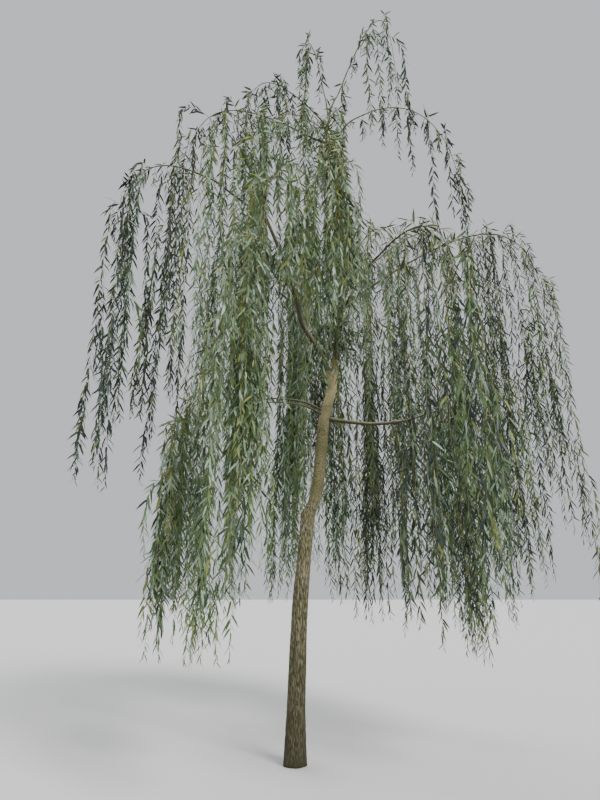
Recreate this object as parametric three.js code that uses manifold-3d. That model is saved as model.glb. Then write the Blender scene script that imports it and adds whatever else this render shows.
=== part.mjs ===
// Weeping willow tree: a young one in summer leaf, with its curtains of foliage.
// Millimetres, +Z up. The middle of the flat cut at the foot is the origin, +X is right, -Y is the front.
import * as THREE from 'three';
import { mergeVertices } from 'three/addons/utils/BufferGeometryUtils.js';
import Module from 'manifold-3d';

const wasm = await Module();
wasm.setup();
const { Manifold, Mesh } = wasm;

// Clearance between solids that meet, and the wider one that hanging foliage keeps. A limb is grown by the
// skin before it cuts what forks from it, because its flat sides lie a little inside its roundness.
const GAP = 0.35;
const SKIN = 0.42;
const CLEARANCE = 6;

// The trunk's middle line and thickness, where it turns or narrows.
const TRUNK = [
  { x: 0, y: 0, z: 0, thick: 190 },
  { x: 15, y: 0, z: 600, thick: 162 },
  { x: 45, y: 0, z: 1300, thick: 147 },
  { x: 88, y: 0, z: 1780, thick: 133 },
  { x: 122, y: 0, z: 2110, thick: 128 },
  { x: 190, y: 0, z: 2300, thick: 124 },
  { x: 235, y: 0, z: 2560, thick: 119 },
  { x: 290, y: 0, z: 3100, thick: 116 },
  { x: 365, y: 0, z: 3400, thick: 100 },
  { x: 405, y: 0, z: 3620, thick: 82 },
];
const TRUNK_SIDES = 14;
const TRUNK_RINGS = 24;
// The foot swells in soft lobes, and a knuckle of old wood stands out of the trunk's left side.
const ROOT_FLARE = { lobes: 5, swell: 9, relief: 4, height: 150, turn: 0.7 };
const KNUCKLE = { z: 2150, bulge: 10, height: 75 };

// The leader carries the trunk's line on upwards, and the left limb forks from the trunk's top.
const LEADER = [
  { x: 405, y: 0, z: 3620 + GAP, thick: 79 },
  { x: 500, y: 0, z: 4600, thick: 62 },
  { x: 515, y: 5, z: 5200, thick: 52 },
  { x: 440, y: 0, z: 6000, thick: 40 },
  { x: 360, y: -10, z: 6550, thick: 30 },
  { x: 425, y: 0, z: 7050, thick: 20 },
];
const LEFT_LIMB = [
  { x: 385, y: 0, z: 3500, thick: 62 },
  { x: 200, y: -90, z: 3950, thick: 54 },
  { x: 50, y: -170, z: 4300, thick: 48 },
  { x: -180, y: -265, z: 4930, thick: 38 },
  { x: -370, y: -310, z: 5450, thick: 30 },
  { x: -385, y: -325, z: 5900, thick: 24 },
];
const LIMB_SIDES = 8;
const LIMB_RINGS = 10;

// Boughs: the limb and the height they fork at, the bearing (0 right, 90 back, -90 front), the angle they
// rise at, how far out they reach, how high the arch's middle is over the fork (or under it, where that is
// negative), how far the end falls from there, the share that is bare bough, and its thickness at the fork.
// Curtains: the height that the lowest whips hang to, how far they spread sideways, and how many there are.
const BOUGHS = {
  left_high: {
    limb: 'left_limb', fork: 5250, bearing: 196, rise: 40, reach: 1500, crest: 480, fall: 800, bare: 0.45,
    thick: 30, floor: 2150, spread: 360, whips: 6,
  },
  left_crest: {
    limb: 'leader', fork: 6500, bearing: 168, rise: 34, reach: 1780, crest: 700, fall: 1000, bare: 0.4,
    thick: 26, floor: 2300, spread: 420, whips: 6,
  },
  left_small: {
    limb: 'leader', fork: 6750, bearing: 186, rise: 45, reach: 980, crest: 560, fall: 800, bare: 0.4,
    thick: 20, floor: 5300, spread: 300, whips: 4,
  },
  top_left: {
    limb: 'leader', fork: 6850, bearing: 205, rise: 84, reach: 330, crest: 930, fall: 600, bare: 0.4,
    thick: 18, floor: 6700, spread: 170, whips: 3,
  },
  right_crest: {
    limb: 'leader', fork: 6400, bearing: -8, rise: 72, reach: 1500, crest: 520, fall: 1600, bare: 0.36,
    thick: 24, floor: 5150, spread: 200, whips: 4,
  },
  right_mid: {
    limb: 'leader', fork: 4620, bearing: 25, rise: 38, reach: 1560, crest: 900, fall: 800, bare: 0.3,
    thick: 32, floor: 900, spread: 460, whips: 8,
  },
  right_long: {
    limb: 'leader', fork: 4380, bearing: -3, rise: 34, reach: 2160, crest: 800, fall: 850, bare: 0.3,
    thick: 36, floor: 750, spread: 340, whips: 9,
  },
  right_low: {
    limb: 'trunk', fork: 3130, bearing: -14, rise: -14, reach: 1280, crest: 70, fall: 600, bare: 0.56,
    thick: 46, floor: 800, spread: 420, whips: 7,
  },
  left_low: {
    limb: 'trunk', fork: 3190, bearing: 205, rise: 22, reach: 1500, crest: 130, fall: 700, bare: 0.42,
    thick: 34, floor: 750, spread: 480, whips: 7,
  },
  front_left: {
    limb: 'leader', fork: 4100, bearing: -114, rise: 45, reach: 1750, crest: 900, fall: 900, bare: 0.42,
    thick: 32, floor: 900, spread: 480, whips: 6,
  },
  front: {
    limb: 'leader', fork: 5000, bearing: -102, rise: 42, reach: 1300, crest: 620, fall: 800, bare: 0.34,
    thick: 28, floor: 3350, spread: 360, whips: 10,
  },
  front_right: {
    limb: 'leader', fork: 4260, bearing: -60, rise: 40, reach: 1700, crest: 420, fall: 800, bare: 0.42,
    thick: 32, floor: 1100, spread: 460, whips: 7,
  },
  back_right: {
    limb: 'leader', fork: 4750, bearing: 66, rise: 40, reach: 1950, crest: 850, fall: 1000, bare: 0.42,
    thick: 32, floor: 1000, spread: 480, whips: 8,
  },
  back: {
    limb: 'leader', fork: 4920, bearing: 100, rise: 45, reach: 1900, crest: 1000, fall: 1000, bare: 0.42,
    thick: 32, floor: 1200, spread: 550, whips: 8,
  },
  back_left: {
    limb: 'left_limb', fork: 4700, bearing: 122, rise: 45, reach: 1900, crest: 1000, fall: 1000, bare: 0.42,
    thick: 30, floor: 950, spread: 480, whips: 8,
  },
  left_front_high: {
    limb: 'leader', fork: 6620, bearing: -128, rise: 5, reach: 1180, crest: -250, fall: 1050, bare: 0.14,
    thick: 22, floor: 3300, spread: 380, whips: 9,
  },
  back_high: {
    limb: 'leader', fork: 6050, bearing: 104, rise: 40, reach: 1150, crest: 520, fall: 900, bare: 0.34,
    thick: 24, floor: 3000, spread: 420, whips: 7,
  },
  left_mid: {
    limb: 'left_limb', fork: 5680, bearing: 225, rise: 50, reach: 800, crest: 400, fall: 800, bare: 0.42,
    thick: 22, floor: 3200, spread: 380, whips: 5,
  },
  right_inner: {
    limb: 'leader', fork: 4700, bearing: -58, rise: 40, reach: 780, crest: 320, fall: 600, bare: 0.34,
    thick: 24, floor: 3350, spread: 340, whips: 7,
  },
};
// The two limbs' own tips arch over into masses of their own, with no bare bough before them.
const TIPS = {
  crown_top: {
    limb: 'leader', bearing: -6, rise: 64, reach: 800, crest: 1180, fall: 1150,
    floor: 6150, spread: 260, whips: 5,
  },
  left_limb_top: {
    limb: 'left_limb', bearing: 262, rise: 80, reach: 450, crest: 430, fall: 700,
    floor: 1500, spread: 360, whips: 8,
  },
};
// A bough thins to a share of its first thickness, and swells to a collar where it forks.
const BOUGH = { sides: 5, rings: 4, thin: 0.52, collar: 0.45, collarLength: 70 };

// Foliage: a stem, the whips that hang from it, and leaves that each stand for a spray of real ones.
const STEM = { sides: 4, rings: 7, tip: 15, atLimbTip: 0.84, startsInLimb: 0.995 };
const WHIP = { sides: 3, root: 9, thick: 15, archSteps: 2, sag: 0.55, drift: 0.03 };
const LEAF = { length: 560, width: 120, thick: 13, belly: 0.42, sink: 6, step: 600, tilt: 24 };
// How whips are drawn by lot: where on the stem they spring, how far they turn from its bearing near its
// root and near its end, their run as a share of the spread, their lift, and how much shorter some hang.
const WHIP_LOT = {
  root: [0.05, 0.985], outward: 0.75, turnInside: [55, 105], turnOutside: [10, 90],
  run: [0.2, 1], lift: [20, 130], shorten: 0.5,
};
// How leaves are drawn: the wait to the first and between them in steps, and the bare end above the last.
const LEAF_LOT = { first: [0.06, 0.46], next: [0.9, 1.15], bareEnd: 0.35 };
// A whip shorter than fullWhip has smaller leaves, down to the least share of their full size.
const LEAF_SCALE = { fullWhip: 2600, least: 0.62 };
// The shortest whip in lengths of its end leaf, and how many whips are drawn before a mass is left as it is.
const SHORTEST_WHIP = 1.2;
const MOST_TRIES = 60;
// The share of a leaf's width that its neighbours keep from its middle line, and where its broad part starts.
const LEAF_KEEP = { width: 0.44, from: 0.2 };
// The trunk shows from the front below the sill: no whip hangs lower in front of it.
const WINDOW = { x: 170, halfWidth: 330, back: 260, sill: 3300 };
// Steps in which the foliage measures how far it is from a limb and from a bough.
const MEASURE_STEPS = { limb: 12, bough: 6 };

const DEGREE = Math.PI / 180;
const { lerp, clamp, smoothstep } = THREE.MathUtils;

// The minimal standard generator, started afresh for each whip.
const GENERATOR = { factor: 48271, modulus: 2147483647, stride: 7919, first: 17, perMass: 1000 };

function dice(seed) {
  let state = seed * GENERATOR.stride + GENERATOR.first;
  return () => {
    state = (state * GENERATOR.factor) % GENERATOR.modulus;
    return state / GENERATOR.modulus;
  };
}

function between(roll, [low, high]) {
  return lerp(low, high, roll());
}

function vector({ x, y, z }) {
  return new THREE.Vector3(x, y, z);
}

function heading(bearing) {
  return new THREE.Vector3(Math.cos(bearing * DEGREE), Math.sin(bearing * DEGREE), 0);
}

// A limb's line with its thickness, which both run smoothly through the listed places.
function limbLine(places) {
  const curve = new THREE.CatmullRomCurve3(places.map(vector), false, 'catmullrom', 0.5);
  const thickness = (t) => {
    const at = t * (places.length - 1);
    const before = Math.min(Math.floor(at), places.length - 2);
    const share = smoothstep(at - before, 0, 1);
    return lerp(places[before].thick, places[before + 1].thick, share);
  };
  return { curve, thickness };
}

// The point of a rising line at a height, found by halving.
function pointAtHeight(curve, height) {
  const halvings = 40;
  let low = 0;
  let high = 1;
  for (let step = 0; step < halvings; step += 1) {
    const middle = (low + high) / 2;
    if (curve.getPoint(middle).z < height) low = middle;
    else high = middle;
  }
  return curve.getPoint(low);
}

// The line of a bough and of the stem that carries it on: it rises, crests halfway and falls to hang down.
// Halfway along such a curve its two inner handles weigh 3/8 each and its ends 1/8 each.
function archLine(root, { bearing, rise, reach, crest, fall }) {
  const out = heading(bearing);
  const inner = 3 / 8;
  const outer = 1 / 8;
  const handle = 0.4;
  const first = handle * Math.hypot(reach, crest);
  const firstHeight = first * Math.sin(rise * DEGREE);
  const endHeight = crest - fall;
  const crestHeight = (crest - inner * firstHeight - outer * endHeight) / inner;
  const place = (along, height) => root.clone().addScaledVector(out, along).setZ(root.z + height);
  return new THREE.CubicBezierCurve3(
    root.clone(),
    place(first * Math.cos(rise * DEGREE), firstHeight),
    place(reach, crestHeight),
    place(reach, endHeight),
  );
}

// Closed tube along a line. radius(t, angle) gives its section, flat(t) squeezes it to a blade, level rings
// lie parallel to the ground, and extend lengthens both ends. It ends in a flat face, or in a point.
function tube({
  line, rings, sides, radius, side,
  from = 0, to = 1, flat = () => 1, level = false, extend = 0, pointed = false,
}) {
  const positions = [];
  const bands = pointed ? rings - 1 : rings;
  for (let ring = 0; ring <= bands; ring += 1) {
    const t = lerp(from, to, ring / rings);
    const centre = line.getPoint(t);
    const tangent = level ? new THREE.Vector3(0, 0, 1) : line.getTangent(t);
    if (ring === 0) centre.addScaledVector(tangent, -extend);
    if (ring === rings) centre.addScaledVector(tangent, extend);
    const across = side.clone().addScaledVector(tangent, -side.dot(tangent)).normalize();
    const over = tangent.clone().cross(across);
    for (let corner = 0; corner < sides; corner += 1) {
      const angle = (2 * Math.PI * corner) / sides;
      const size = radius(t, angle);
      const point = centre.clone();
      point.addScaledVector(across, flat(t) * size * Math.cos(angle));
      point.addScaledVector(over, size * Math.sin(angle));
      positions.push(...point);
    }
  }
  if (pointed) positions.push(...line.getPoint(to));
  return closedShape(positions, tubeFaces(bands, sides, pointed));
}

function tubeFaces(bands, sides, pointed) {
  const faces = [];
  const nextCorner = (corner) => (corner + 1) % sides;
  for (let band = 0; band < bands; band += 1) {
    for (let corner = 0; corner < sides; corner += 1) {
      const a = band * sides + corner;
      const b = band * sides + nextCorner(corner);
      faces.push(a, b, b + sides, a, b + sides, a + sides);
    }
  }
  for (let corner = 1; corner < sides - 1; corner += 1) faces.push(0, corner + 1, corner);
  const end = bands * sides;
  for (let corner = 0; pointed && corner < sides; corner += 1) {
    faces.push(end + corner, end + nextCorner(corner), end + sides);
  }
  for (let corner = 1; !pointed && corner < sides - 1; corner += 1) {
    faces.push(end, end + corner, end + corner + 1);
  }
  return faces;
}

function closedShape(positions, faces) {
  const geometry = new THREE.BufferGeometry();
  geometry.setAttribute('position', new THREE.Float32BufferAttribute(positions, 3));
  geometry.setIndex(faces);
  return geometry;
}

function toSolid(geometry) {
  const merged = mergeVertices(geometry);
  const vertProperties = Float32Array.from(merged.getAttribute('position').array);
  const triVerts = Uint32Array.from(merged.getIndex().array);
  return new Manifold(new Mesh({ numProp: 3, vertProperties, triVerts }));
}

// The largest closed body of a joined solid: it has no loose scrap and no sealed hollow.
function mainBody(solid) {
  const bodies = solid.decompose();
  return bodies.reduce((best, body) => (body.volume() > best.volume() ? body : best));
}

function toGeometry(solid) {
  const { vertProperties, triVerts } = solid.getMesh();
  const geometry = closedShape(Array.from(vertProperties), Array.from(triVerts));
  geometry.computeVertexNormals();
  return geometry;
}

const tree = new THREE.Group();
const oldBark = new THREE.MeshStandardMaterial({ color: 0x7d6d55, roughness: 0.95, metalness: 0 });
const youngBark = new THREE.MeshStandardMaterial({ color: 0x7a6f4e, roughness: 0.9, metalness: 0 });
const foliage = new THREE.MeshStandardMaterial({ color: 0x71835f, roughness: 0.6, metalness: 0 });

function addPiece(name, solid, material) {
  const piece = new THREE.Mesh(toGeometry(solid), material);
  piece.name = name;
  tree.add(piece);
}

// All that foliage keeps clear of: stretches of limbs, stems, whips and leaves, each with its radius.
const stretches = [];

function noteLine(owner, line, from, to, steps, radius) {
  for (let step = 0; step < steps; step += 1) {
    const t = lerp(from, to, step / steps);
    const next = lerp(from, to, (step + 1) / steps);
    const span = new THREE.Line3(line.getPoint(t), line.getPoint(next));
    stretches.push({ owner, kind: 'wood', span, radius: radius(t) });
  }
}

function touches(span, radius, mayTouch = () => false) {
  return stretches.some((other) => {
    const least = radius + other.radius + CLEARANCE;
    return !mayTouch(other) && other.span.distanceSqToLine3(span) < least * least;
  });
}

// The trunk and the two limbs that carry it on. Each is cut clear of the ones it forks from.
const limbs = {};

function addLimb(name, places, { rings, sides, radius, level, material, forksFrom = [] }) {
  const { curve, thickness } = limbLine(places);
  const section = radius ? radius(thickness, curve) : (t) => thickness(t) / 2;
  const shape = { line: curve, rings, sides, side: heading(0), level };
  const body = toSolid(tube({ ...shape, radius: section }));
  const skin = toSolid(tube({ ...shape, radius: (t, angle) => section(t, angle) + SKIN, extend: GAP }));
  const cut = forksFrom.reduce((rest, parent) => rest.subtract(limbs[parent].skin), body);
  limbs[name] = { curve, skin, tip: places.at(-1) };
  addPiece(name, mainBody(cut), material);
  noteLine(name, curve, 0, 1, MEASURE_STEPS.limb, (t) => section(t, 0));
}

function trunkRadius(thickness, curve) {
  return (t, angle) => {
    const { z } = curve.getPoint(t);
    const flare = Math.exp(-z / ROOT_FLARE.height);
    const lobes = ROOT_FLARE.relief * Math.cos(ROOT_FLARE.lobes * angle + ROOT_FLARE.turn);
    const fromKnuckle = (z - KNUCKLE.z) / KNUCKLE.height;
    const knuckle = KNUCKLE.bulge * Math.exp(-fromKnuckle * fromKnuckle) * Math.max(0, -Math.cos(angle));
    return thickness(t) / 2 + flare * (ROOT_FLARE.swell + lobes) + knuckle;
  };
}

const trunkShape = { rings: TRUNK_RINGS, sides: TRUNK_SIDES, level: true };
const limbShape = { rings: LIMB_RINGS, sides: LIMB_SIDES };
addLimb('trunk', TRUNK, { ...trunkShape, radius: trunkRadius, material: oldBark });
addLimb('leader', LEADER, { ...limbShape, level: true, material: youngBark });
addLimb('left_limb', LEFT_LIMB, {
  ...limbShape, level: false, material: youngBark, forksFrom: ['trunk', 'leader'],
});

// Masses of foliage, each with the line of its stem, where the stem starts on it and what cuts it free.
const masses = [];

// A bough is the bare start of its arch: it tapers from its collar to the mass that it enters.
function addBough(name, bough) {
  const limb = limbs[bough.limb];
  const line = archLine(pointAtHeight(limb.curve, bough.fork), bough);
  const length = line.getLength();
  const radius = (t) => {
    const collar = 1 + BOUGH.collar * Math.exp((-t * length) / BOUGH.collarLength);
    return (bough.thick / 2) * lerp(1, BOUGH.thin, t / bough.bare) * collar;
  };
  const { sides, rings } = BOUGH;
  const { bare } = bough;
  const body = toSolid(tube({ line, to: bare, rings, sides, radius, side: heading(bough.bearing + 90) }));
  addPiece(`bough_${name}`, mainBody(body.subtract(limb.skin)), youngBark);
  noteLine(`bough_${name}`, line, 0, bare, MEASURE_STEPS.bough, radius);
  masses.push({ name, ...bough, line, from: bare + GAP / length, thick: 2 * radius(bare), cutBy: null });
}

// A limb's own tip has no bare bough: the stem starts in the limb and is cut clear of it.
function addTip(name, tip) {
  const limb = limbs[tip.limb];
  const root = limb.curve.getPoint(STEM.startsInLimb);
  const thick = STEM.atLimbTip * limb.tip.thick;
  masses.push({ name, ...tip, line: archLine(root, tip), from: 0, thick, cutBy: limb.skin });
}

Object.entries(BOUGHS).forEach(([name, bough]) => addBough(name, bough));
Object.entries(TIPS).forEach(([name, tip]) => addTip(name, tip));

masses.forEach((mass, index) => {
  mass.seed = GENERATOR.perMass * (index + 1);
  mass.radius = (t) => lerp(mass.thick, STEM.tip, (t - mass.from) / (1 - mass.from)) / 2;
  mass.joints = Array.from({ length: STEM.rings + 1 }, (_, ring) => (
    mass.line.getPoint(lerp(mass.from, 1, ring / STEM.rings))
  ));
  noteLine(mass.name, mass.line, mass.from, 1, STEM.rings, mass.radius);
});

// A mass's own space lies nearer to its stem, or to the air under it down to its floor, than to any other's.
function distanceUnder({ joints, floor }, point) {
  return Math.min(...joints.slice(1).map(({ x, y, z }) => (
    Math.hypot(point.x - x, point.y - y, Math.max(0, point.z - z, floor - point.z))
  )));
}

function inOwnSpace(mass, point) {
  const own = distanceUnder(mass, point);
  return masses.every((other) => other === mass || distanceUnder(other, point) > own);
}

// A point on the stem's straight stretches, by its share of the way from the bough to the stem's end.
function stemPoint({ joints }, share) {
  const before = Math.min(Math.floor(share * STEM.rings), STEM.rings - 1);
  return joints[before].clone().lerp(joints[before + 1], share * STEM.rings - before);
}

function inWindow({ x, y }) {
  return y < WINDOW.back && Math.abs(x - WINDOW.x) < WINDOW.halfWidth;
}

// A whip's line: it springs sideways from the stem, bends over in a quarter turn and hangs straight.
function whipPoints({ root, bearing, run, lift, bottom }) {
  const out = heading(bearing);
  const points = [];
  for (let step = 0; step <= WHIP.archSteps; step += 1) {
    const turn = (step / WHIP.archSteps) * (Math.PI / 2);
    const height = lift * Math.sin(2 * turn) - WHIP.sag * run * (1 - Math.cos(turn));
    points.push(root.clone().addScaledVector(out, run * Math.sin(turn)).setZ(root.z + height));
  }
  const top = points.at(-1);
  points.push(top.clone().addScaledVector(out, WHIP.drift * (top.z - bottom)).setZ(bottom));
  return points;
}

// Draws a mass's whip by its number, or nothing where it would be too short or leave the mass's space.
function drawWhip(mass, number) {
  const roll = dice(mass.seed + number);
  const share = roll() ** WHIP_LOT.outward;
  const root = stemPoint(mass, lerp(...WHIP_LOT.root, share));
  const turn = lerp(between(roll, WHIP_LOT.turnInside), between(roll, WHIP_LOT.turnOutside), share * share);
  const bearing = mass.bearing + (number % 2 === 0 ? turn : -turn);
  const run = mass.spread * between(roll, WHIP_LOT.run);
  const lift = between(roll, WHIP_LOT.lift);
  const top = root.z - WHIP.sag * run;
  const floor = inWindow(root.clone().addScaledVector(heading(bearing), run)) ? WINDOW.sill : 0;
  const foot = Math.max(floor, mass.floor) + WHIP_LOT.shorten * roll() ** 2 * (top - mass.floor);
  const scale = clamp((top - foot) / LEAF_SCALE.fullWhip, LEAF_SCALE.least, 1);
  const blade = { length: LEAF.length * scale, width: LEAF.width * scale };
  const points = whipPoints({ root, bearing, run, lift, bottom: foot + blade.length });
  const isLong = top - foot > SHORTEST_WHIP * blade.length;
  const fits = isLong && points.slice(1).every((point) => inOwnSpace(mass, point));
  return fits ? { number, points, roll, bearing, blade } : null;
}

// A whip and the leaf that it ends in, as one tube whose last ring is squeezed flat to a blade.
function whipSolid({ points, bearing, blade }) {
  const end = points.at(-1);
  const below = (share) => end.clone().setZ(end.z - share * blade.length);
  const places = [...points, below(LEAF.belly), below(1)];
  const last = places.length - 1;
  const placeOf = (t) => Math.round(t * last);
  const line = {
    getPoint: (t) => places[placeOf(t)].clone(),
    getTangent: (t) => {
      const before = places[Math.max(0, placeOf(t) - 1)];
      const after = places[Math.min(last, placeOf(t) + 1)];
      return after.clone().sub(before).normalize();
    },
  };
  // The radius of a three-sided ring as broad as the blade, and how flat that ring is squeezed.
  const broad = blade.width / Math.sqrt(3);
  const thin = LEAF.thick / (1.5 * broad);
  const isBelly = (t) => placeOf(t) === last - 1;
  const radius = (t) => {
    if (placeOf(t) === 0) return WHIP.root / 2;
    return isBelly(t) ? broad : WHIP.thick / 2;
  };
  const flat = (t) => (isBelly(t) ? thin : 1);
  return tube({
    line, rings: last, sides: WHIP.sides, side: heading(bearing + 90), radius, flat, pointed: true,
  });
}

// A leaf: a long eight-faced blade from a root sunk in its twig to its tip.
function leafSolid(root, axis, across, blade) {
  const over = axis.clone().cross(across);
  const middle = root.clone().addScaledVector(axis, LEAF.belly * blade.length);
  const corners = [
    root,
    root.clone().addScaledVector(axis, blade.length),
    middle.clone().addScaledVector(across, blade.width / 2),
    middle.clone().addScaledVector(over, LEAF.thick / 2),
    middle.clone().addScaledVector(across, -blade.width / 2),
    middle.clone().addScaledVector(over, -LEAF.thick / 2),
  ];
  const faces = [0, 3, 2, 0, 4, 3, 0, 5, 4, 0, 2, 5, 1, 2, 3, 1, 3, 4, 1, 4, 5, 1, 5, 2];
  return closedShape(corners.flatMap((corner) => [...corner]), faces);
}

// Places for leaves down a whip's hanging length, each square to one of its three sides in turn.
function leafPlaces({ points, bearing, blade, roll }) {
  const hanging = new THREE.Line3(points.at(-2), points.at(-1));
  const length = hanging.distance();
  const step = LEAF.step * (blade.length / LEAF.length);
  const places = [];
  const firstSide = Math.floor(WHIP.sides * roll());
  let down = step * between(roll, LEAF_LOT.first);
  while (down < length - LEAF_LOT.bareEnd * blade.length) {
    const side = firstSide + 2 * places.length;
    const turn = bearing + (360 / WHIP.sides) * (side + 1 / 4);
    places.push({ at: hanging.at(down / length, new THREE.Vector3()), turn });
    down += step * between(roll, LEAF_LOT.next);
  }
  return places;
}

// Adds a whip, the leaf that it ends in and its side leaves, where they clear the limbs and all other
// foliage, and says whether the whip found room.
function growWhip(mass, whip, solids) {
  const { number, points, bearing, blade } = whip;
  const isOwn = (kind) => (other) => other.owner === mass.name && other.kind === kind;
  const isStem = isOwn('wood');
  const isNearStem = (other) => isStem(other) || isOwn('whip root')(other);
  const spans = points.slice(1).map((point, index) => new THREE.Line3(points[index], point));
  const kinds = spans.map((_, index) => (index < WHIP.archSteps ? 'whip root' : 'whip'));
  const end = points.at(-1);
  const endLeaf = new THREE.Line3(end, end.clone().setZ(end.z - blade.length));
  const clear = spans.every((span, index) => (
    !touches(span, WHIP.thick / 2, kinds[index] === 'whip root' ? isNearStem : isStem)
  ));
  if (!clear || touches(endLeaf, blade.width / 2)) return false;
  const note = (kind, span, radius) => stretches.push({ owner: mass.name, kind, number, span, radius });
  spans.forEach((span, index) => note(kinds[index], span, WHIP.thick / 2));
  note('leaf', endLeaf, blade.width / 2);
  solids.push(toSolid(whipSolid({ points, bearing, blade })));
  leafPlaces(whip).forEach((place) => growLeaf(mass, whip, place, solids, note));
  return true;
}

function growLeaf(mass, { number, blade }, { at, turn }, solids, note) {
  const tilt = LEAF.tilt * DEGREE;
  const axis = heading(turn).multiplyScalar(Math.sin(tilt)).setZ(-Math.cos(tilt));
  const root = at.clone().addScaledVector(axis, -LEAF.sink);
  const tip = root.clone().addScaledVector(axis, blade.length);
  const broad = new THREE.Line3(root.clone().lerp(tip, LEAF_KEEP.from), tip);
  const keep = LEAF_KEEP.width * blade.width;
  const isOwnWhip = ({ owner, kind, number: itsNumber }) => (
    owner === mass.name && itsNumber === number && kind !== 'leaf'
  );
  const middle = broad.getCenter(new THREE.Vector3());
  if (!inOwnSpace(mass, middle) || touches(broad, keep, isOwnWhip)) return;
  note('leaf', broad, keep);
  solids.push(toSolid(leafSolid(root, axis, heading(turn + 90), blade)));
}

function addMass(mass) {
  const { line, from, radius, cutBy, bearing } = mass;
  const { rings, sides } = STEM;
  const stem = toSolid(tube({ line, from, rings, sides, radius, side: heading(bearing + 90) }));
  const solids = [cutBy ? mainBody(stem.subtract(cutBy)) : stem];
  let whips = 0;
  for (let number = 0; number < MOST_TRIES && whips < mass.whips; number += 1) {
    const whip = drawWhip(mass, number);
    if (whip && growWhip(mass, whip, solids)) whips += 1;
  }
  addPiece(`mass_${mass.name}`, mainBody(Manifold.union(solids)), foliage);
}

masses.forEach(addMass);

export default tree;
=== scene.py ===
"""A young weeping willow in summer leaf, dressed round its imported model.

Metres, +Z up. The origin is the middle of the flat cut at the foot, +X is right and -Y is the front.
The limbs, the boughs and the masses of foliage grow by the rule of the solids, which is written again here
and carried to finer twigs and to leaves of about life size.
"""
import functools
import math
from types import SimpleNamespace

import bpy
import numpy as np
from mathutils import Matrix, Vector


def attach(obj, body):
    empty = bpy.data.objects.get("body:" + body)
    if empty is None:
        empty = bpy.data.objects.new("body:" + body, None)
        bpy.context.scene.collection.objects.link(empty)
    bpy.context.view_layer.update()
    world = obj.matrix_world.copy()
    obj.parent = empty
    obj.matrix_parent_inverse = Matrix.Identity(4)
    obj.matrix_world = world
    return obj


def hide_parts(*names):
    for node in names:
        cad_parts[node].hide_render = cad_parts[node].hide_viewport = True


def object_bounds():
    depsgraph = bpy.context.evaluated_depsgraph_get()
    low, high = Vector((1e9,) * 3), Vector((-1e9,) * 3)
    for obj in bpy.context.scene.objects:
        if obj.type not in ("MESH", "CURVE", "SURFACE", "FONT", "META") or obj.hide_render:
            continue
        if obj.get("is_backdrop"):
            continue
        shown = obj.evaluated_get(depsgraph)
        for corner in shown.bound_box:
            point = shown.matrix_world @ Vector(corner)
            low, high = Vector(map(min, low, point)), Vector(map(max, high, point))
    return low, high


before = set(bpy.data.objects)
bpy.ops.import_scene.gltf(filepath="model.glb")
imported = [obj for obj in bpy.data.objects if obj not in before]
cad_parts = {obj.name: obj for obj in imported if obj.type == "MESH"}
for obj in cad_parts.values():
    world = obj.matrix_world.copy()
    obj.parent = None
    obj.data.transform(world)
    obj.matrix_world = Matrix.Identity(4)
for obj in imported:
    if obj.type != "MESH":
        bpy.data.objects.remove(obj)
cad_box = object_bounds()

MM = 0.001
UP = np.array([0, 0, 1.0])

# The middle line and thickness of the trunk and of the two limbs that carry it on: x, y, z, thickness.
TRUNK = np.array([
    (0.000, 0, 0.000, 0.190),
    (0.015, 0, 0.600, 0.162),
    (0.045, 0, 1.300, 0.147),
    (0.088, 0, 1.780, 0.133),
    (0.122, 0, 2.110, 0.128),
    (0.190, 0, 2.300, 0.124),
    (0.235, 0, 2.560, 0.119),
    (0.290, 0, 3.100, 0.116),
    (0.365, 0, 3.400, 0.100),
    (0.405, 0, 3.620, 0.082),
])
LEADER = np.array([
    (0.405, 0, 3.620, 0.079),
    (0.500, 0, 4.600, 0.062),
    (0.515, 0.005, 5.200, 0.052),
    (0.440, 0, 6.000, 0.040),
    (0.360, -0.010, 6.550, 0.030),
    (0.425, 0, 7.050, 0.020),
])
LEFT_LIMB = np.array([
    (0.385, 0, 3.500, 0.062),
    (0.200, -0.090, 3.950, 0.054),
    (0.050, -0.170, 4.300, 0.048),
    (-0.180, -0.265, 4.930, 0.038),
    (-0.370, -0.310, 5.450, 0.030),
    (-0.385, -0.325, 5.900, 0.024),
])
LIMBS = {"trunk": TRUNK, "leader": LEADER, "left_limb": LEFT_LIMB}
ROOT_FLARE = {"lobes": 5, "swell": 0.009, "relief": 0.004, "height": 0.150, "turn": 0.7}
KNUCKLE = {"z": 2.150, "bulge": 0.010, "height": 0.075}

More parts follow.
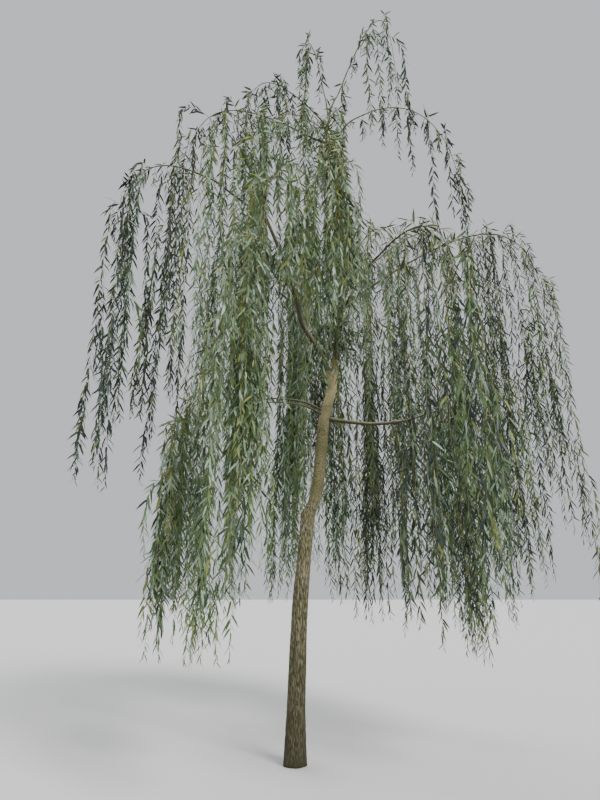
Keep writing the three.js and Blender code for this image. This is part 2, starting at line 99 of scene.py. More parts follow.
# Boughs: the limb and the height they fork at, the bearing, the angle they rise at, how far out they reach,
# how high the middle is over the fork (under it where negative), how far the end falls from there, the
# share that is bare, the thickness.
# Curtains: the height that the lowest whips hang to, how far they spread, and how many the solids have.
BOUGH_WORDS = "limb fork bearing rise reach crest fall bare thick floor spread whips".split()
BOUGHS = {
    "left_high": ("left_limb", 5.25, 196, 40, 1.50, 0.48, 0.80, 0.45, 0.030, 2.15, 0.36, 6),
    "left_crest": ("leader", 6.50, 168, 34, 1.78, 0.70, 1.00, 0.40, 0.026, 2.30, 0.42, 6),
    "left_small": ("leader", 6.75, 186, 45, 0.98, 0.56, 0.80, 0.40, 0.020, 5.30, 0.30, 4),
    "top_left": ("leader", 6.85, 205, 84, 0.33, 0.93, 0.60, 0.40, 0.018, 6.70, 0.17, 3),
    "right_crest": ("leader", 6.40, -8, 72, 1.50, 0.52, 1.60, 0.36, 0.024, 5.15, 0.20, 4),
    "right_mid": ("leader", 4.62, 25, 38, 1.56, 0.90, 0.80, 0.30, 0.032, 0.90, 0.46, 8),
    "right_long": ("leader", 4.38, -3, 34, 2.16, 0.80, 0.85, 0.30, 0.036, 0.75, 0.34, 9),
    "right_low": ("trunk", 3.13, -14, -14, 1.28, 0.07, 0.60, 0.56, 0.046, 0.80, 0.42, 7),
    "left_low": ("trunk", 3.19, 205, 22, 1.50, 0.13, 0.70, 0.42, 0.034, 0.75, 0.48, 7),
    "front_left": ("leader", 4.10, -114, 45, 1.75, 0.90, 0.90, 0.42, 0.032, 0.90, 0.48, 6),
    "front": ("leader", 5.00, -102, 42, 1.30, 0.62, 0.80, 0.34, 0.028, 3.35, 0.36, 10),
    "front_right": ("leader", 4.26, -60, 40, 1.70, 0.42, 0.80, 0.42, 0.032, 1.10, 0.46, 7),
    "back_right": ("leader", 4.75, 66, 40, 1.95, 0.85, 1.00, 0.42, 0.032, 1.00, 0.48, 8),
    "back": ("leader", 4.92, 100, 45, 1.90, 1.00, 1.00, 0.42, 0.032, 1.20, 0.55, 8),
    "back_left": ("left_limb", 4.70, 122, 45, 1.90, 1.00, 1.00, 0.42, 0.030, 0.95, 0.48, 8),
    "left_front_high": ("leader", 6.62, -128, 5, 1.18, -0.25, 1.05, 0.14, 0.022, 3.30, 0.38, 9),
    "back_high": ("leader", 6.05, 104, 40, 1.15, 0.52, 0.90, 0.34, 0.024, 3.00, 0.42, 7),
    "left_mid": ("left_limb", 5.68, 225, 50, 0.80, 0.40, 0.80, 0.42, 0.022, 3.20, 0.38, 5),
    "right_inner": ("leader", 4.70, -58, 40, 0.78, 0.32, 0.60, 0.34, 0.024, 3.35, 0.34, 7),
}
# The two limbs' own tips arch over into masses of their own, with no bare bough before them.
TIP_WORDS = "limb bearing rise reach crest fall floor spread whips".split()
TIPS = {
    "crown_top": ("leader", -6, 64, 0.80, 1.18, 1.15, 6.15, 0.26, 5),
    "left_limb_top": ("left_limb", 262, 80, 0.45, 0.43, 0.70, 1.50, 0.36, 8),
}
BOUGH = {"thin": 0.52, "collar": 0.45, "collar_length": 0.070}
STEM = {"rings": 7, "tip": 0.005, "at_limb_tip": 0.84, "starts_in_limb": 0.995}
# How far a heavy bough hangs below its arch and how late along it this comes, and the share of its line that
# hangs so.
SAG = {"right_low": (0.150, 1.5), "left_low": (0.200, 2.5)}
SAG_REACH = 0.72

# How whips are drawn by lot, as in the solids: where on the stem they spring, how far they turn from its
# bearing near its root and near its end, their run as a share of the spread, their lift, how much some are
# shorter. A whip too short for the solids' end leaf isn't grown.
WHIP = {"sag": 0.55, "drift": 0.03, "arch_steps": 2}
WHIP_LOT = {
    "root": (0.05, 0.985), "outward": 0.75, "turn_inside": (55, 105), "turn_outside": (10, 90),
    "run": (0.2, 1), "lift": (0.020, 0.130), "shorten": 0.5,
}
SPRAY = {"length": 0.560, "full_whip": 2.6, "least": 0.62, "shortest_whip": 1.2}
GENERATOR = {"factor": 48271, "modulus": 2147483647, "stride": 7919, "first": 17, "per_mass": 1000}
WINDOW = {"x": 0.170, "half_width": 0.330, "back": 0.260, "sill": 3.3}

# How each mass grows in the scene: how many strands of leaves it has, whips and their side shoots together,
# few where the photo shows sky through them; which lot its extra whips and shoots are drawn by, so that the
# gaps between them fall about where the photo shows them; how many more side shoots each whip has low down,
# where the photo shows a curtain closing up; the length of stem between its short sprays; the size of its
# leaves; and the part of the crown that it is in.
MIDDLE, OUTSIDE, RIGHT = range(3)
GROWTH_WORDS = "strands lot low_shoots spray_gap leaf_size part".split()
GROWTH = {
    "left_high": (16, 3, 1, 0.13, 1.00, OUTSIDE),
    "left_crest": (15, 23, 0, 0.06, 1.00, OUTSIDE),
    "left_small": (12, 11, 0, 0.06, 1.00, OUTSIDE),
    "top_left": (4, 18, 0, 0.13, 1.00, OUTSIDE),
    "right_crest": (3, 18, 0, 0.09, 1.00, OUTSIDE),
    "right_mid": (38, 7, 3, 0.05, 0.80, RIGHT),
    "right_long": (86, 1, 2, 0.05, 0.80, RIGHT),
    "right_low": (44, 0, 1, 0.13, 0.90, RIGHT),
    "left_low": (58, 0, 1, 0.13, 1.00, MIDDLE),
    "front_left": (42, 1, 5, 0.13, 1.00, MIDDLE),
    "front": (52, 14, 0, 0.07, 0.90, MIDDLE),
    "front_right": (22, 0, 3, 0.13, 1.00, RIGHT),
    "back_right": (72, 0, 2, 0.13, 1.00, RIGHT),
    "back": (116, 6, 1, 0.13, 1.00, MIDDLE),
    "back_left": (27, 21, 3, 0.13, 1.00, MIDDLE),
    "left_front_high": (29, 4, 0, 0.04, 1.00, MIDDLE),
    "back_high": (16, 14, 0, 0.13, 1.00, MIDDLE),
    "left_mid": (12, 21, 0, 0.13, 1.00, MIDDLE),
    "right_inner": (28, 3, 0, 0.13, 0.85, MIDDLE),
    "crown_top": (6, 11, 0, 0.13, 1.00, OUTSIDE),
    "left_limb_top": (30, 3, 0, 0.13, 1.00, MIDDLE),
}
STRANDS_PER_WHIP = 4.2
MOST_TRIES = 400
LOT_STRIDE = 100_000
# Whips beyond the solids' own hang nearer to the stem, by this share, and fill the space under it. On some
# masses they spring from the first stretch of the stem only, and the last whips have fewer side shoots.
EXTRA_RUN = (0.25, 1)
EXTRA_STRETCH = {"right_long": 0.55}
THIN_END = {"right_long": 0.25}
# A side shoot: where it springs on its whip, and where those low down do, how far out it bends and how much
# of that down, how far down it hangs beside the whip, its least and greatest fall, and how it is divided.
SHOOT = {
    "root": (0.06, 0.72), "low_root": (0.45, 0.82), "run": (0.03, 0.14), "drop": 1.1, "length": (0.42, 1.0),
    "shortest": 0.35, "longest": 2.3, "least_hang": 0.03, "arch_steps": 3, "least_steps": 2,
}
# Short leafy sprays all along a stem, and the last one, which hangs on from its end.
SPRAYS = {
    "place": (0.97, 1.0), "run": (0.03, 0.12), "fall": (0.10, 0.38), "end_run": 0.01, "end_fall": (0.4, 0.9),
}
# Boughs that are leafy from this share of their line, long before their curtain begins.
LEAFY_FROM = {
    "left_crest": 0.06, "left_small": 0.06, "right_crest": 0.06, "right_mid": 0.12, "right_long": 0.24,
}
# Leafy shoots straight from a limb, which hide it in the crown. Under the mass they count to: the limb, the
# heights that they spring between, how many there are and how low they reach.
LIMB_SHOOTS = {
    "left_front_high": ("leader", 6.15, 7.02, 30, 5.20),
    "front": ("leader", 5.25, 6.15, 24, 4.40),
    "right_inner": ("leader", 4.00, 5.25, 46, 3.72),
    "left_limb_top": ("left_limb", 4.55, 5.05, 14, 3.90),
    "front_left": ("left_limb", 3.76, 3.98, 14, 3.44),
    "front_right": ("leader", 3.80, 4.35, 16, 3.68),
}
LIMB_SHOOT = {"run": (0.05, 0.24), "fall": (0.22, 0.75), "bearing": (-175, -5)}
TWIG = {"root": 2.8 * MM, "tip": 1.0 * MM, "shoot_root": 2.0 * MM, "sides": 3, "step": 0.20, "yellow": 0.4}
# A whip's finer line in the scene. It ends this share of a leaf above the foot of the solids' whip.
FINE_WHIP = {"arch_steps": 7, "least_steps": 4, "ends_above": 0.7}
# A hanging twig's waves: the size and period of each, how much both vary, and the length they grow over.
SWAY = {"waves": ((0.018, 1.1), (0.009, 0.42)), "size": (0.4, 1.3), "period": (0.8, 1.3), "grows_over": 0.8}
# Points near the root of a whip and of a shoot, which may touch the wood that it springs from.
NEAR_ROOT = {"whip": 3, "shoot": 2}

# Leaves of size 1: 10 to 15 cm long and a seventh of that wide, as in life, one about every 2.5 cm and each
# two fifths of a turn round the whip from the last.
LEAF = {
    "length": (0.096, 0.152), "slim": (0.124, 0.168), "spacing": (0.019, 0.032), "bare_start": 0.05,
    "turn": 144, "turn_error": 28, "angle": (24, 68), "hang": 0.28, "faces_up": 0.7, "facing_error": 0.55,
    "fold": 0.24, "droop": (0.03, 0.26), "curl": 0.05, "short_tip": 0.30, "tip_size": 0.45,
}
# How many times as broad they are in the crown's middle, at its outside and on its right.
LEAF_BREADTH = (1, 1.22, 1)
# The share of a spray's leaves that have its tone.
SHARED_TONE = 0.45
# How far foliage keeps from the wood, and how far leaves may reach beyond the solids' box.
LIMB_CLEARANCE = 0.012
BOX_MARGIN = 0.03
# Where the photograph was taken from, and where the left limb shows from there through gaps in the leaves:
# the heights that each gap lies between, half its width, and the number of places tested in it.
EYE = np.array([0.045, -5.92, 1.5])
GLIMPSE = {"heights": ((3.94, 4.34), (5.02, 5.26)), "half_width": 0.034, "places": 14}
# How finely lines are divided: by halving, along a bough or its stem, and in the wood to keep clear of.
HALVINGS = 40
LINE_STEPS = 40
WOOD_STEPS = {"limb": 31, "bough": 9}


def heading(bearing):
    """The level unit vector at a bearing in degrees: 0 is right, 90 is back and -90 is front."""
    angle = math.radians(bearing)
    return np.array([math.cos(angle), math.sin(angle), 0.0])


def between(low_high, share):
    """The value at a share of the way from a low to a high one."""
    low, high = low_high
    return low + (high - low) * share


def smooth_step(x):
    """0 below 0, 1 above 1 and smooth between them."""
    x = np.clip(x, 0, 1)
    return x * x * (3 - 2 * x)


def rise(value, start, length):
    """0 up to a start, 1 from that length beyond it on, and smooth between them."""
    return smooth_step((value - start) / length)


def hump(value, middle, width):
    """1 at the middle, falling to 0 on both sides within about twice the width."""
    return np.exp(-((value - middle) / width)**2)


def unit(vectors):
    """The vectors at unit length."""
    return vectors / np.maximum(np.linalg.norm(vectors, axis=-1, keepdims=True), 1e-12)


def dice(seed):
    """The minimal standard generator, as in the solids: a function that gives the next number from 0 to 1."""
    state = seed * GENERATOR["stride"] + GENERATOR["first"]

    def roll():
        nonlocal state
        state = state * GENERATOR["factor"] % GENERATOR["modulus"]
        return state / GENERATOR["modulus"]

    return roll


def limb_points(places, shares):
    """Points of the smooth line through a limb's places, at shares of its way."""
    middle = places[:, :3]
    padded = np.vstack([2 * middle[0] - middle[1], middle, 2 * middle[-1] - middle[-2]])
    at = np.clip(shares, 0, 1) * (len(middle) - 1)
    before = np.minimum(at.astype(int), len(middle) - 2)
    t = (at - before)[:, None]
    earlier, start, end, later = (padded[before + step] for step in range(4))
    leaving = (end - earlier) / 2
    arriving = (later - start) / 2
    start_weight = 2 * t**3 - 3 * t**2 + 1
    return (
        start * start_weight + end * (1 - start_weight)
        + leaving * (t**3 - 2 * t**2 + t) + arriving * (t**3 - t**2)
    )


def limb_thickness(places, shares):
    """A limb's thickness at shares of its way."""
    at = np.clip(shares, 0, 1) * (len(places) - 1)
    before = np.minimum(at.astype(int), len(places) - 2)
    share = smooth_step(at - before)
    return places[before, 3] * (1 - share) + places[before + 1, 3] * share


def point_at_height(places, height):
    """The point of a rising limb at a height, found by halving."""
    low, high = 0.0, 1.0
    for _ in range(HALVINGS):
        middle = (low + high) / 2
        if limb_points(places, np.array([middle]))[0, 2] < height:
            low = middle
        else:
            high = middle
    return limb_points(places, np.array([low]))[0]


def arch(root, bough):
    """The four handles of the line of a bough and its stem: it rises, crests halfway and falls to hang down.
    Halfway along such a curve its two inner handles weigh 3/8 each and its ends 1/8 each."""
    out = heading(bough.bearing)
    inner, outer, handle = 3 / 8, 1 / 8, 0.4
    first = handle * math.hypot(bough.reach, bough.crest)
    first_height = first * math.sin(math.radians(bough.rise))
    end_height = bough.crest - bough.fall
    crest_height = (bough.crest - inner * first_height - outer * end_height) / inner
    return np.array([
        root,
        root + out * first * math.cos(math.radians(bough.rise)) + UP * first_height,
        root + out * bough.reach + UP * crest_height,
        root + out * bough.reach + UP * end_height,
    ])


def arch_points(handles, shares):
    """Points of a bough's line at shares of its way."""
    t = np.asarray(shares, float)[:, None]
    weights = ((1 - t)**3, 3 * t * (1 - t)**2, 3 * t**2 * (1 - t), t**3)
    return sum(weight * handle for weight, handle in zip(weights, handles))


def hung_points(mass, shares):
    """Points of a mass's line as it hangs, at shares of its way."""
    points = arch_points(mass.line, shares)
    depth, lateness = SAG.get(mass.name, (0, 1))
    share = np.clip(np.asarray(shares, float) / SAG_REACH, 0, 1)
    points[:, 2] -= depth * np.sin(math.pi * share**lateness)
    return points


def grow_masses():
    """The masses of foliage in the solids' order, each with its words, its line and its stem."""
    masses = []
    for name, values in BOUGHS.items():
        mass = SimpleNamespace(name=name, bough=f"bough_{name}", **dict(zip(BOUGH_WORDS, values)))
        mass.line = arch(point_at_height(LIMBS[mass.limb], mass.fork), mass)
        mass.start = mass.bare
        mass.stem_thick = mass.thick * BOUGH["thin"]
        masses.append(mass)
    for name, values in TIPS.items():
        mass = SimpleNamespace(name=name, bough=None, bare=0, start=0, **dict(zip(TIP_WORDS, values)))
        places = LIMBS[mass.limb]
        mass.line = arch(limb_points(places, np.array([STEM["starts_in_limb"]]))[0], mass)
        mass.stem_thick = STEM["at_limb_tip"] * places[-1, 3]
        masses.append(mass)
    for index, mass in enumerate(masses):
        vars(mass).update(zip(GROWTH_WORDS, GROWTH[mass.name]))
        mass.seed = GENERATOR["per_mass"] * (index + 1)
        mass.joints = arch_points(mass.line, np.linspace(mass.start, 1, STEM["rings"] + 1))
    return masses


def bough_radius(mass, shares):
    """The radius of a bough and of the stem that carries it on, at shares of their line."""
    points = arch_points(mass.line, np.linspace(0, 1, LINE_STEPS))
    length = np.linalg.norm(np.diff(points, axis=0), axis=1).sum()
    stem_share = np.clip((shares - mass.start) / (1 - mass.start), 0, 1)
    stem = between((mass.stem_thick, STEM["tip"]), stem_share)
    if not mass.bough:
        return stem / 2
    collar = 1 + BOUGH["collar"] * np.exp(-shares * length / BOUGH["collar_length"])
    bare = mass.thick * between((1, BOUGH["thin"]), np.clip(shares / mass.bare, 0, 1)) * collar
    return np.where(shares < mass.bare, bare, stem) / 2


def distance_under(mass, points):
    """How far points lie from a mass's stem, or from the air under it down to its floor."""
    joints = mass.joints[1:]
    apart = points[:, None] - joints[None]
    above = np.maximum(apart[..., 2], mass.floor - points[:, None, 2])
    return np.sqrt(apart[..., 0]**2 + apart[..., 1]**2 + np.maximum(0, above)**2).min(axis=1)


def in_own_space(mass, points):
    """Which points lie nearer to a mass than to any other."""
    own = distance_under(mass, points)
    others = [distance_under(other, points) for other in MASSES if other is not mass]
    return np.min(others, axis=0) > own


def wood_stretches():
    """Straight stretches of the limbs and boughs that foliage keeps clear of: start, end and radius."""
    shares = np.linspace(0, 1, WOOD_STEPS["limb"])
    lines = [(limb_points(places, shares), limb_thickness(places, shares) / 2) for places in LIMBS.values()]
    for mass in (mass for mass in MASSES if mass.bough):
        shares = np.linspace(0, mass.bare, WOOD_STEPS["bough"])
        lines.append((hung_points(mass, shares), bough_radius(mass, shares)))
    starts = np.vstack([points[:-1] for points, _ in lines])
    ends = np.vstack([points[1:] for points, _ in lines])
    return starts, ends, np.concatenate([radii[:-1] for _, radii in lines])


def clear_of_wood(points):
    """Which points keep clear of every limb and bough."""
    starts, ends, radii = WOOD
    along = ends - starts
    apart = points[:, None] - starts
    share = np.clip((apart * along).sum(axis=2) / (along**2).sum(axis=1), 0, 1)
    gap = np.linalg.norm(apart - share[..., None] * along, axis=2)
    return (gap > radii + LIMB_CLEARANCE).all(axis=1)


def crooked(points):
    """The left limb's points with its crook."""
    aside = CROOK["aside"] * hump(points[:, 2], CROOK["z"], CROOK["height"])
    return points + heading(0) * aside[:, None]


def glimpsed_places():
    """Places of the left limb that show through the leaves."""
    heights = np.concatenate([np.linspace(*ends, GLIMPSE["places"]) for ends in GLIMPSE["heights"]])
    return crooked(np.array([point_at_height(LEFT_LIMB, height) for height in heights]))


def before_glimpse(points):
    """Which points lie between the eye and a place of the left limb that shows."""
    sights = GLIMPSED - EYE
    far = np.linalg.norm(sights, axis=1)
    ways = points - EYE
    along = ways @ (sights / far[:, None]).T
    aside = np.sqrt(np.maximum((ways**2).sum(axis=1)[:, None] - along**2, 0))
    return ((along < far) & (aside < GLIMPSE["half_width"])).any(axis=1)


def in_window(x, y):
    """Whether a place lies in the opening before the trunk, where nothing hangs below the sill."""
    return y < WINDOW["back"] and abs(x - WINDOW["x"]) < WINDOW["half_width"]


def draw_whip(mass, number, stretch):
    """The solids' whip of that number, or None where it would be too short or leave the mass's space. It
    springs from the stem's first stretch, as a share of its length."""
    roll = dice(mass.seed + number)
    share = stretch * roll() ** WHIP_LOT["outward"]
    on_stem = between(WHIP_LOT["root"], share)
    root = hung_points(mass, [mass.start + (1 - mass.start) * on_stem])[0]
    inside = between(WHIP_LOT["turn_inside"], roll())
    outside = between(WHIP_LOT["turn_outside"], roll())
    turn = between((inside, outside), share * share)
    bearing = mass.bearing + (turn if number % 2 == 0 else -turn)
    run = mass.spread * between(WHIP_LOT["run"], roll())
    lift = between(WHIP_LOT["lift"], roll())
    top = root[2] - WHIP["sag"] * run
    over = root + heading(bearing) * run
    sill = WINDOW["sill"] if in_window(over[0], over[1]) else 0
    foot = max(sill, mass.floor) + WHIP_LOT["shorten"] * roll() ** 2 * (top - mass.floor)
    scale = min(max((top - foot) / SPRAY["full_whip"], SPRAY["least"]), 1)
    if top - foot <= SPRAY["shortest_whip"] * SPRAY["length"] * scale:
        return None
    whip = SimpleNamespace(root=root, bearing=bearing, run=run, lift=lift, foot=foot, on_stem=on_stem)
    tested = whip_path(whip, WHIP["arch_steps"], foot + SPRAY["length"] * scale, 1)
    return whip if in_own_space(mass, tested[1:]).all() else None


def arch_over(root, out, run, lift, drop, steps):
    """The start of a twig: it springs outward from its root and bends over in a quarter turn."""
    turn = np.linspace(0, math.pi / 2, steps + 1)
    curve = root + out * (run * np.sin(turn))[:, None]
    curve[:, 2] += lift * np.sin(2 * turn) - drop * run * (1 - np.cos(turn))
    return curve


def hung_on(curve, out, fall, steps):
    """A twig that hangs straight down from the end of its arch and drifts a little outward."""
    down = np.linspace(0, fall, steps + 1)[1:, None]
    return np.vstack([curve, curve[-1] + out * WHIP["drift"] * down - UP * down])


def whip_path(whip, arch_steps, bottom, hang_steps):
    """Points of a whip from its root on the stem down to its bottom."""
    out = heading(whip.bearing)
    curve = arch_over(whip.root, out, whip.run, whip.lift, WHIP["sag"], arch_steps)
    return hung_on(curve, out, curve[-1, 2] - bottom, hang_steps)


def lengths_along(path):
    """The distance from a path's start to each of its points."""
    return np.concatenate([[0], np.cumsum(np.linalg.norm(np.diff(path, axis=0), axis=1))])


def at_lengths(values, along, lengths):
    """Values that a path's points have, at lengths along it."""
    return np.stack([np.interp(lengths, along, values[:, axis]) for axis in range(3)], axis=-1)


def points_along(path, lengths):
    """The points of a path at those lengths along it."""
    return at_lengths(path, lengths_along(path), lengths)


def swayed(path, rng):
    """A hanging path with the slight waves of a real whip, which grow from nothing at its start."""
    along = lengths_along(path)
    wave = np.zeros_like(path)
    for size, period in SWAY["waves"]:
        direction = heading(rng.uniform(0, 360))
        phase = rng.uniform(0, 2 * math.pi)
        turns = along / (period * rng.uniform(*SWAY["period"]))
        waves = np.sin(2 * math.pi * turns + phase) - math.sin(phase)
        wave += direction * (size * rng.uniform(*SWAY["size"]) * waves)[:, None]
    return path + wave * smooth_step(along / SWAY["grows_over"])[:, None]


def fine_whip(whip, rng):
    """A whip of the scene: the solids' whip with a rounder arch, waves and a thin end."""
    steps = max(FINE_WHIP["least_steps"], int((whip.root[2] - whip.foot) / TWIG["step"]))
    bottom = whip.foot + FINE_WHIP["ends_above"] * np.mean(LEAF["length"])
    return swayed(whip_path(whip, FINE_WHIP["arch_steps"], bottom, steps), rng)


def shoot_path(root, run, fall, rng, bearings=(0, 360)):
    """A shoot that springs sideways from its root, bends over and hangs down."""
    out = heading(rng.uniform(*bearings))
    curve = arch_over(root, out, run, 0, SHOOT["drop"], SHOOT["arch_steps"])
    hang = max(fall - SHOOT["drop"] * run, SHOOT["least_hang"])
    steps = max(SHOOT["least_steps"], int(hang / TWIG["step"]))
    return swayed(hung_on(curve, out, hang, steps), rng)


def side_shoots(whip_line, count, roots, rng):
    """Side shoots of a whip, which hang beside it."""
    length = lengths_along(whip_line)[-1]
    for _ in range(count):
        root = points_along(whip_line, length * between(roots, rng.random()))
        drop = (root[2] - whip_line[-1, 2]) * between(SHOOT["length"], rng.random())
        if drop > SHOOT["shortest"]:
            yield shoot_path(root, between(SHOOT["run"], rng.random()), min(drop, SHOOT["longest"]), rng)


def stem_sprays(mass, rng):
    """Short leafy sprays along a mass's stem, and a last one that hangs on from its end."""
    stem = bough_line(mass, np.linspace(LEAFY_FROM.get(mass.name, mass.start), 1, LINE_STEPS))
    for at in np.arange(mass.spray_gap, lengths_along(stem)[-1], mass.spray_gap):
        root = points_along(stem, at * rng.uniform(*SPRAYS["place"]))
        run = between(SPRAYS["run"], rng.random())
        yield shoot_path(root, run, between(SPRAYS["fall"], rng.random()), rng)
    fall = (stem[-1, 2] - mass.floor) * rng.uniform(*SPRAYS["end_fall"])
    yield shoot_path(stem[-1], SPRAYS["end_run"], max(fall, SHOOT["shortest"]), rng)


def limb_shoots(mass, rng):
    """Leafy shoots that spring from a limb beside a mass."""
    if mass.name not in LIMB_SHOOTS:
        return
    limb, low, high, count, lowest = LIMB_SHOOTS[mass.name]
    for height in np.linspace(low, high, count):
        root = point_at_height(LIMBS[limb], height)
        fall = min(between(LIMB_SHOOT["fall"], rng.random()), height - lowest)
        run = between(LIMB_SHOOT["run"], rng.random())
        yield shoot_path(root, run, fall, rng, LIMB_SHOOT["bearing"])


def frame_along(points, side):
    """The direction of a line at each of its points and two unit vectors across it."""
    tangent = unit(np.gradient(points, axis=0))
    across = unit(side - (tangent @ side)[:, None] * tangent)
    return tangent, across, np.cross(tangent, across)


@functools.lru_cache(maxsize=None)
def tube_faces(rings, sides):
    """The triangles of a tube whose last two vertices are the middles of its two ends."""
    ring = np.arange(rings - 1)[:, None] * sides
    corner = np.arange(sides)[None]
    following = (corner + 1) % sides
    a, b = (ring + corner).ravel(), (ring + following).ravel()
    wall = np.vstack([np.stack([a, b, b + sides], axis=1), np.stack([a, b + sides, a + sides], axis=1)])
    first, last = rings * sides, rings * sides + 1
    low = np.stack([following[0], corner[0], np.full(sides, first)], axis=1)
    end = (rings - 1) * sides
    high = np.stack([end + corner[0], end + following[0], np.full(sides, last)], axis=1)
    return np.vstack([wall, low, high])


def tube(points, radii, sides, side, level=False):
    """Vertices and triangles of a closed tube. radii holds one radius for each ring, or one for each corner
    of each ring, and level rings lie parallel to the ground."""
    _, across, over = frame_along(points, side)
    if level:
        across = np.broadcast_to(side, points.shape)
        over = np.broadcast_to(np.cross(UP, side), points.shape)
    angle = (2 * math.pi * np.arange(sides) / sides)[None, :, None]
    spokes = across[:, None] * np.cos(angle) + over[:, None] * np.sin(angle)
    size = np.asarray(radii).reshape(len(points), -1, 1)
    vertices = (points[:, None] + spokes * size).reshape(-1, 3)
    return np.vstack([vertices, points[:1], points[-1:]]), tube_faces(len(points), sides)


def linked(name, data):
    """A new object in the scene."""
    thing = bpy.data.objects.new(name, data)
    bpy.context.scene.collection.objects.link(thing)
    return thing


class Heap:
    """Small shapes gathered into one piece, with the place of its material for each triangle."""

    def __init__(self):
        self.vertices, self.triangles, self.looks = [], [], []
        self.count = 0

    def add(self, vertices, triangles, look=0):
        self.vertices.append(vertices)
        self.triangles.append(triangles + self.count)
        self.looks.append(np.broadcast_to(look, len(triangles)))
        self.count += len(vertices)

    def piece(self, name, materials, slot, replaced):
        """The mesh object of all that was gathered, riding on the tree's one body."""
        vertices = np.vstack(self.vertices)
        triangles = np.vstack(self.triangles)
        mesh = bpy.data.meshes.new(name)
        mesh.vertices.add(len(vertices))
        mesh.vertices.foreach_set("co", vertices.astype(np.float32).ravel())
        mesh.loops.add(triangles.size)
        mesh.loops.foreach_set("vertex_index", triangles.astype(np.int32).ravel())
        mesh.polygons.add(len(triangles))
        mesh.polygons.foreach_set("loop_start", np.arange(0, triangles.size, 3, dtype=np.int32))
        mesh.polygons.foreach_set("material_index", np.concatenate(self.looks).astype(np.int32))
        mesh.polygons.foreach_set("use_smooth", np.ones(len(triangles), bool))
        mesh.update(calc_edges=True)
        for material in materials:
            mesh.materials.append(material)
        piece = linked(name, mesh)
        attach(piece, "root")
        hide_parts(*replaced)
        return piece


def linear(hex_colour):
    """An sRGB hex colour as the linear colour that sockets take."""
    parts = [int(hex_colour[start:start + 2], 16) / 255 for start in (1, 3, 5)]
    return (*(c / 12.92 if c <= 0.04045 else ((c + 0.055) / 1.055) ** 2.4 for c in parts), 1.0)


# The colour sockets of a Mix node, which share their names with its other sockets.
MIX_A, MIX_B, MIX_RESULT = 6, 7, 2


class Look:
    """A material in the making, with a short call for each kind of node that the tree's looks need."""

    def __init__(self, name):
        self.material = bpy.data.materials.new(name)
        self.material.use_nodes = True
        self.tree = self.material.node_tree

    def fill(self, node, sockets):
        """Links or sets the named sockets of a node. A colour may be in hex."""
        for name, value in sockets.items():
            if isinstance(value, bpy.types.NodeSocket):
                self.tree.links.new(value, node.inputs[name])
            else:
                node.inputs[name].default_value = linear(value) if isinstance(value, str) else value

    def node(self, kind, sockets, **settings):
        """The outputs of a new node with its sockets filled and its settings made."""
        node = self.tree.nodes.new(f"ShaderNode{kind}")
        for name, value in settings.items():
            setattr(node, name, value)
        self.fill(node, sockets)
        return node.outputs

    def place(self, kind="Object"):
        """Where a point is in the tree's frame, or another of its coordinates."""
        return self.node("TexCoord", {})[kind]

    def scaled(self, place, scale):
        """A place with its axes scaled, so that a pattern runs along one of them."""
        return self.node("Mapping", {"Vector": place, "Scale": scale})["Vector"]

    def along_z(self, vector):
        """The third part of a place or a direction."""
        return self.node("SeparateXYZ", {"Vector": vector})["Z"]

    def stored(self, name):
        """A value that the mesh holds for each vertex."""
        return self.node("Attribute", {}, attribute_name=name)["Fac"]

    def noise(self, place, size, detail):
        """Noise whose features are that many millimetres large."""
        return self.node("TexNoise", {"Vector": place, "Scale": 1 / (size * MM), "Detail": detail})["Fac"]

    def ramp(self, value, ends, to=(0, 1)):
        """A value that runs between two ends, carried over to two others."""
        sockets = {"Value": value, "From Min": ends[0], "From Max": ends[1], "To Min": to[0], "To Max": to[1]}
        return self.node("MapRange", sockets)["Result"]

    def blend(self, share, first, second):
        """A blend of two colours, of the second by that share."""
        return self.node("Mix", {"Factor": share, MIX_A: first, MIX_B: second}, data_type="RGBA")[MIX_RESULT]

    def bump(self, height, strength, depth):
        """Bumps of at most that many millimetres."""
        return self.node("Bump", {"Height": height, "Strength": strength, "Distance": depth * MM})["Normal"]

    def finish(self, sockets):
        """The material, with its shader's sockets filled."""
        self.fill(self.tree.nodes["Principled BSDF"], sockets)
        return self.material


def old_willow_bark():
    """Young willow's trunk bark, grown and weathered: low down pale cork over dark furrows, with a tinge of
    algae and splashed soil. Above the knuckle it is smoother and tan, mottled green, with level wrinkles, and
    lightest at the top."""
    look = Look("old_willow_bark")
    place = look.place()
    height = look.along_z(place)
    upright = look.scaled(place, (1, 1, 0.2))
    fibres = look.noise(upright, 9, 4)
    mottle = look.noise(upright, 55, 5)
    wrinkles = look.noise(look.scaled(place, (0.5, 0.5, 1)), 10, 3)
    blotches = look.noise(place, 150, 3)
    streaks = look.ramp(fibres, (0.42, 0.60))
    furrow = look.blend(streaks, "#353222", "#7a7458")
    cork = look.blend(streaks, "#4a4533", "#aba386")
    low = look.blend(look.stored("relief"), furrow, cork)
    tan = look.blend(look.ramp(wrinkles, (0.36, 0.58)), "#443d29", "#998e6b")
    mottled = look.blend(look.ramp(mottle, (0.40, 0.60), (0, 0.8)), tan, "#6b6849")
    high = look.blend(look.ramp(height, (3.00, 3.35), (0, 0.76)), mottled, "#cfc093")
    wandering_height = look.node("Math", {0: blotches, 1: 0.9, 2: height}, operation="MULTIPLY_ADD")[0]
    colour = look.blend(look.ramp(wandering_height, (2.35, 3.05)), low, high)
    algae = look.ramp(blotches, (0.42, 0.66), (0, 0.45))
    soil = look.ramp(height, (0, 1.6), (0.85, 0.05))
    for share, tint in ((algae, "#565a30"), (soil, "#312d1d"), (look.stored("knot"), "#332c1e")):
        colour = look.blend(share, colour, tint)
    return look.finish({
        "Base Color": colour, "Roughness": look.ramp(fibres, (0, 1), (0.78, 0.98)),
        "Normal": look.bump(fibres, 0.7, 1.6), "Specular IOR Level": 0.3,
    })


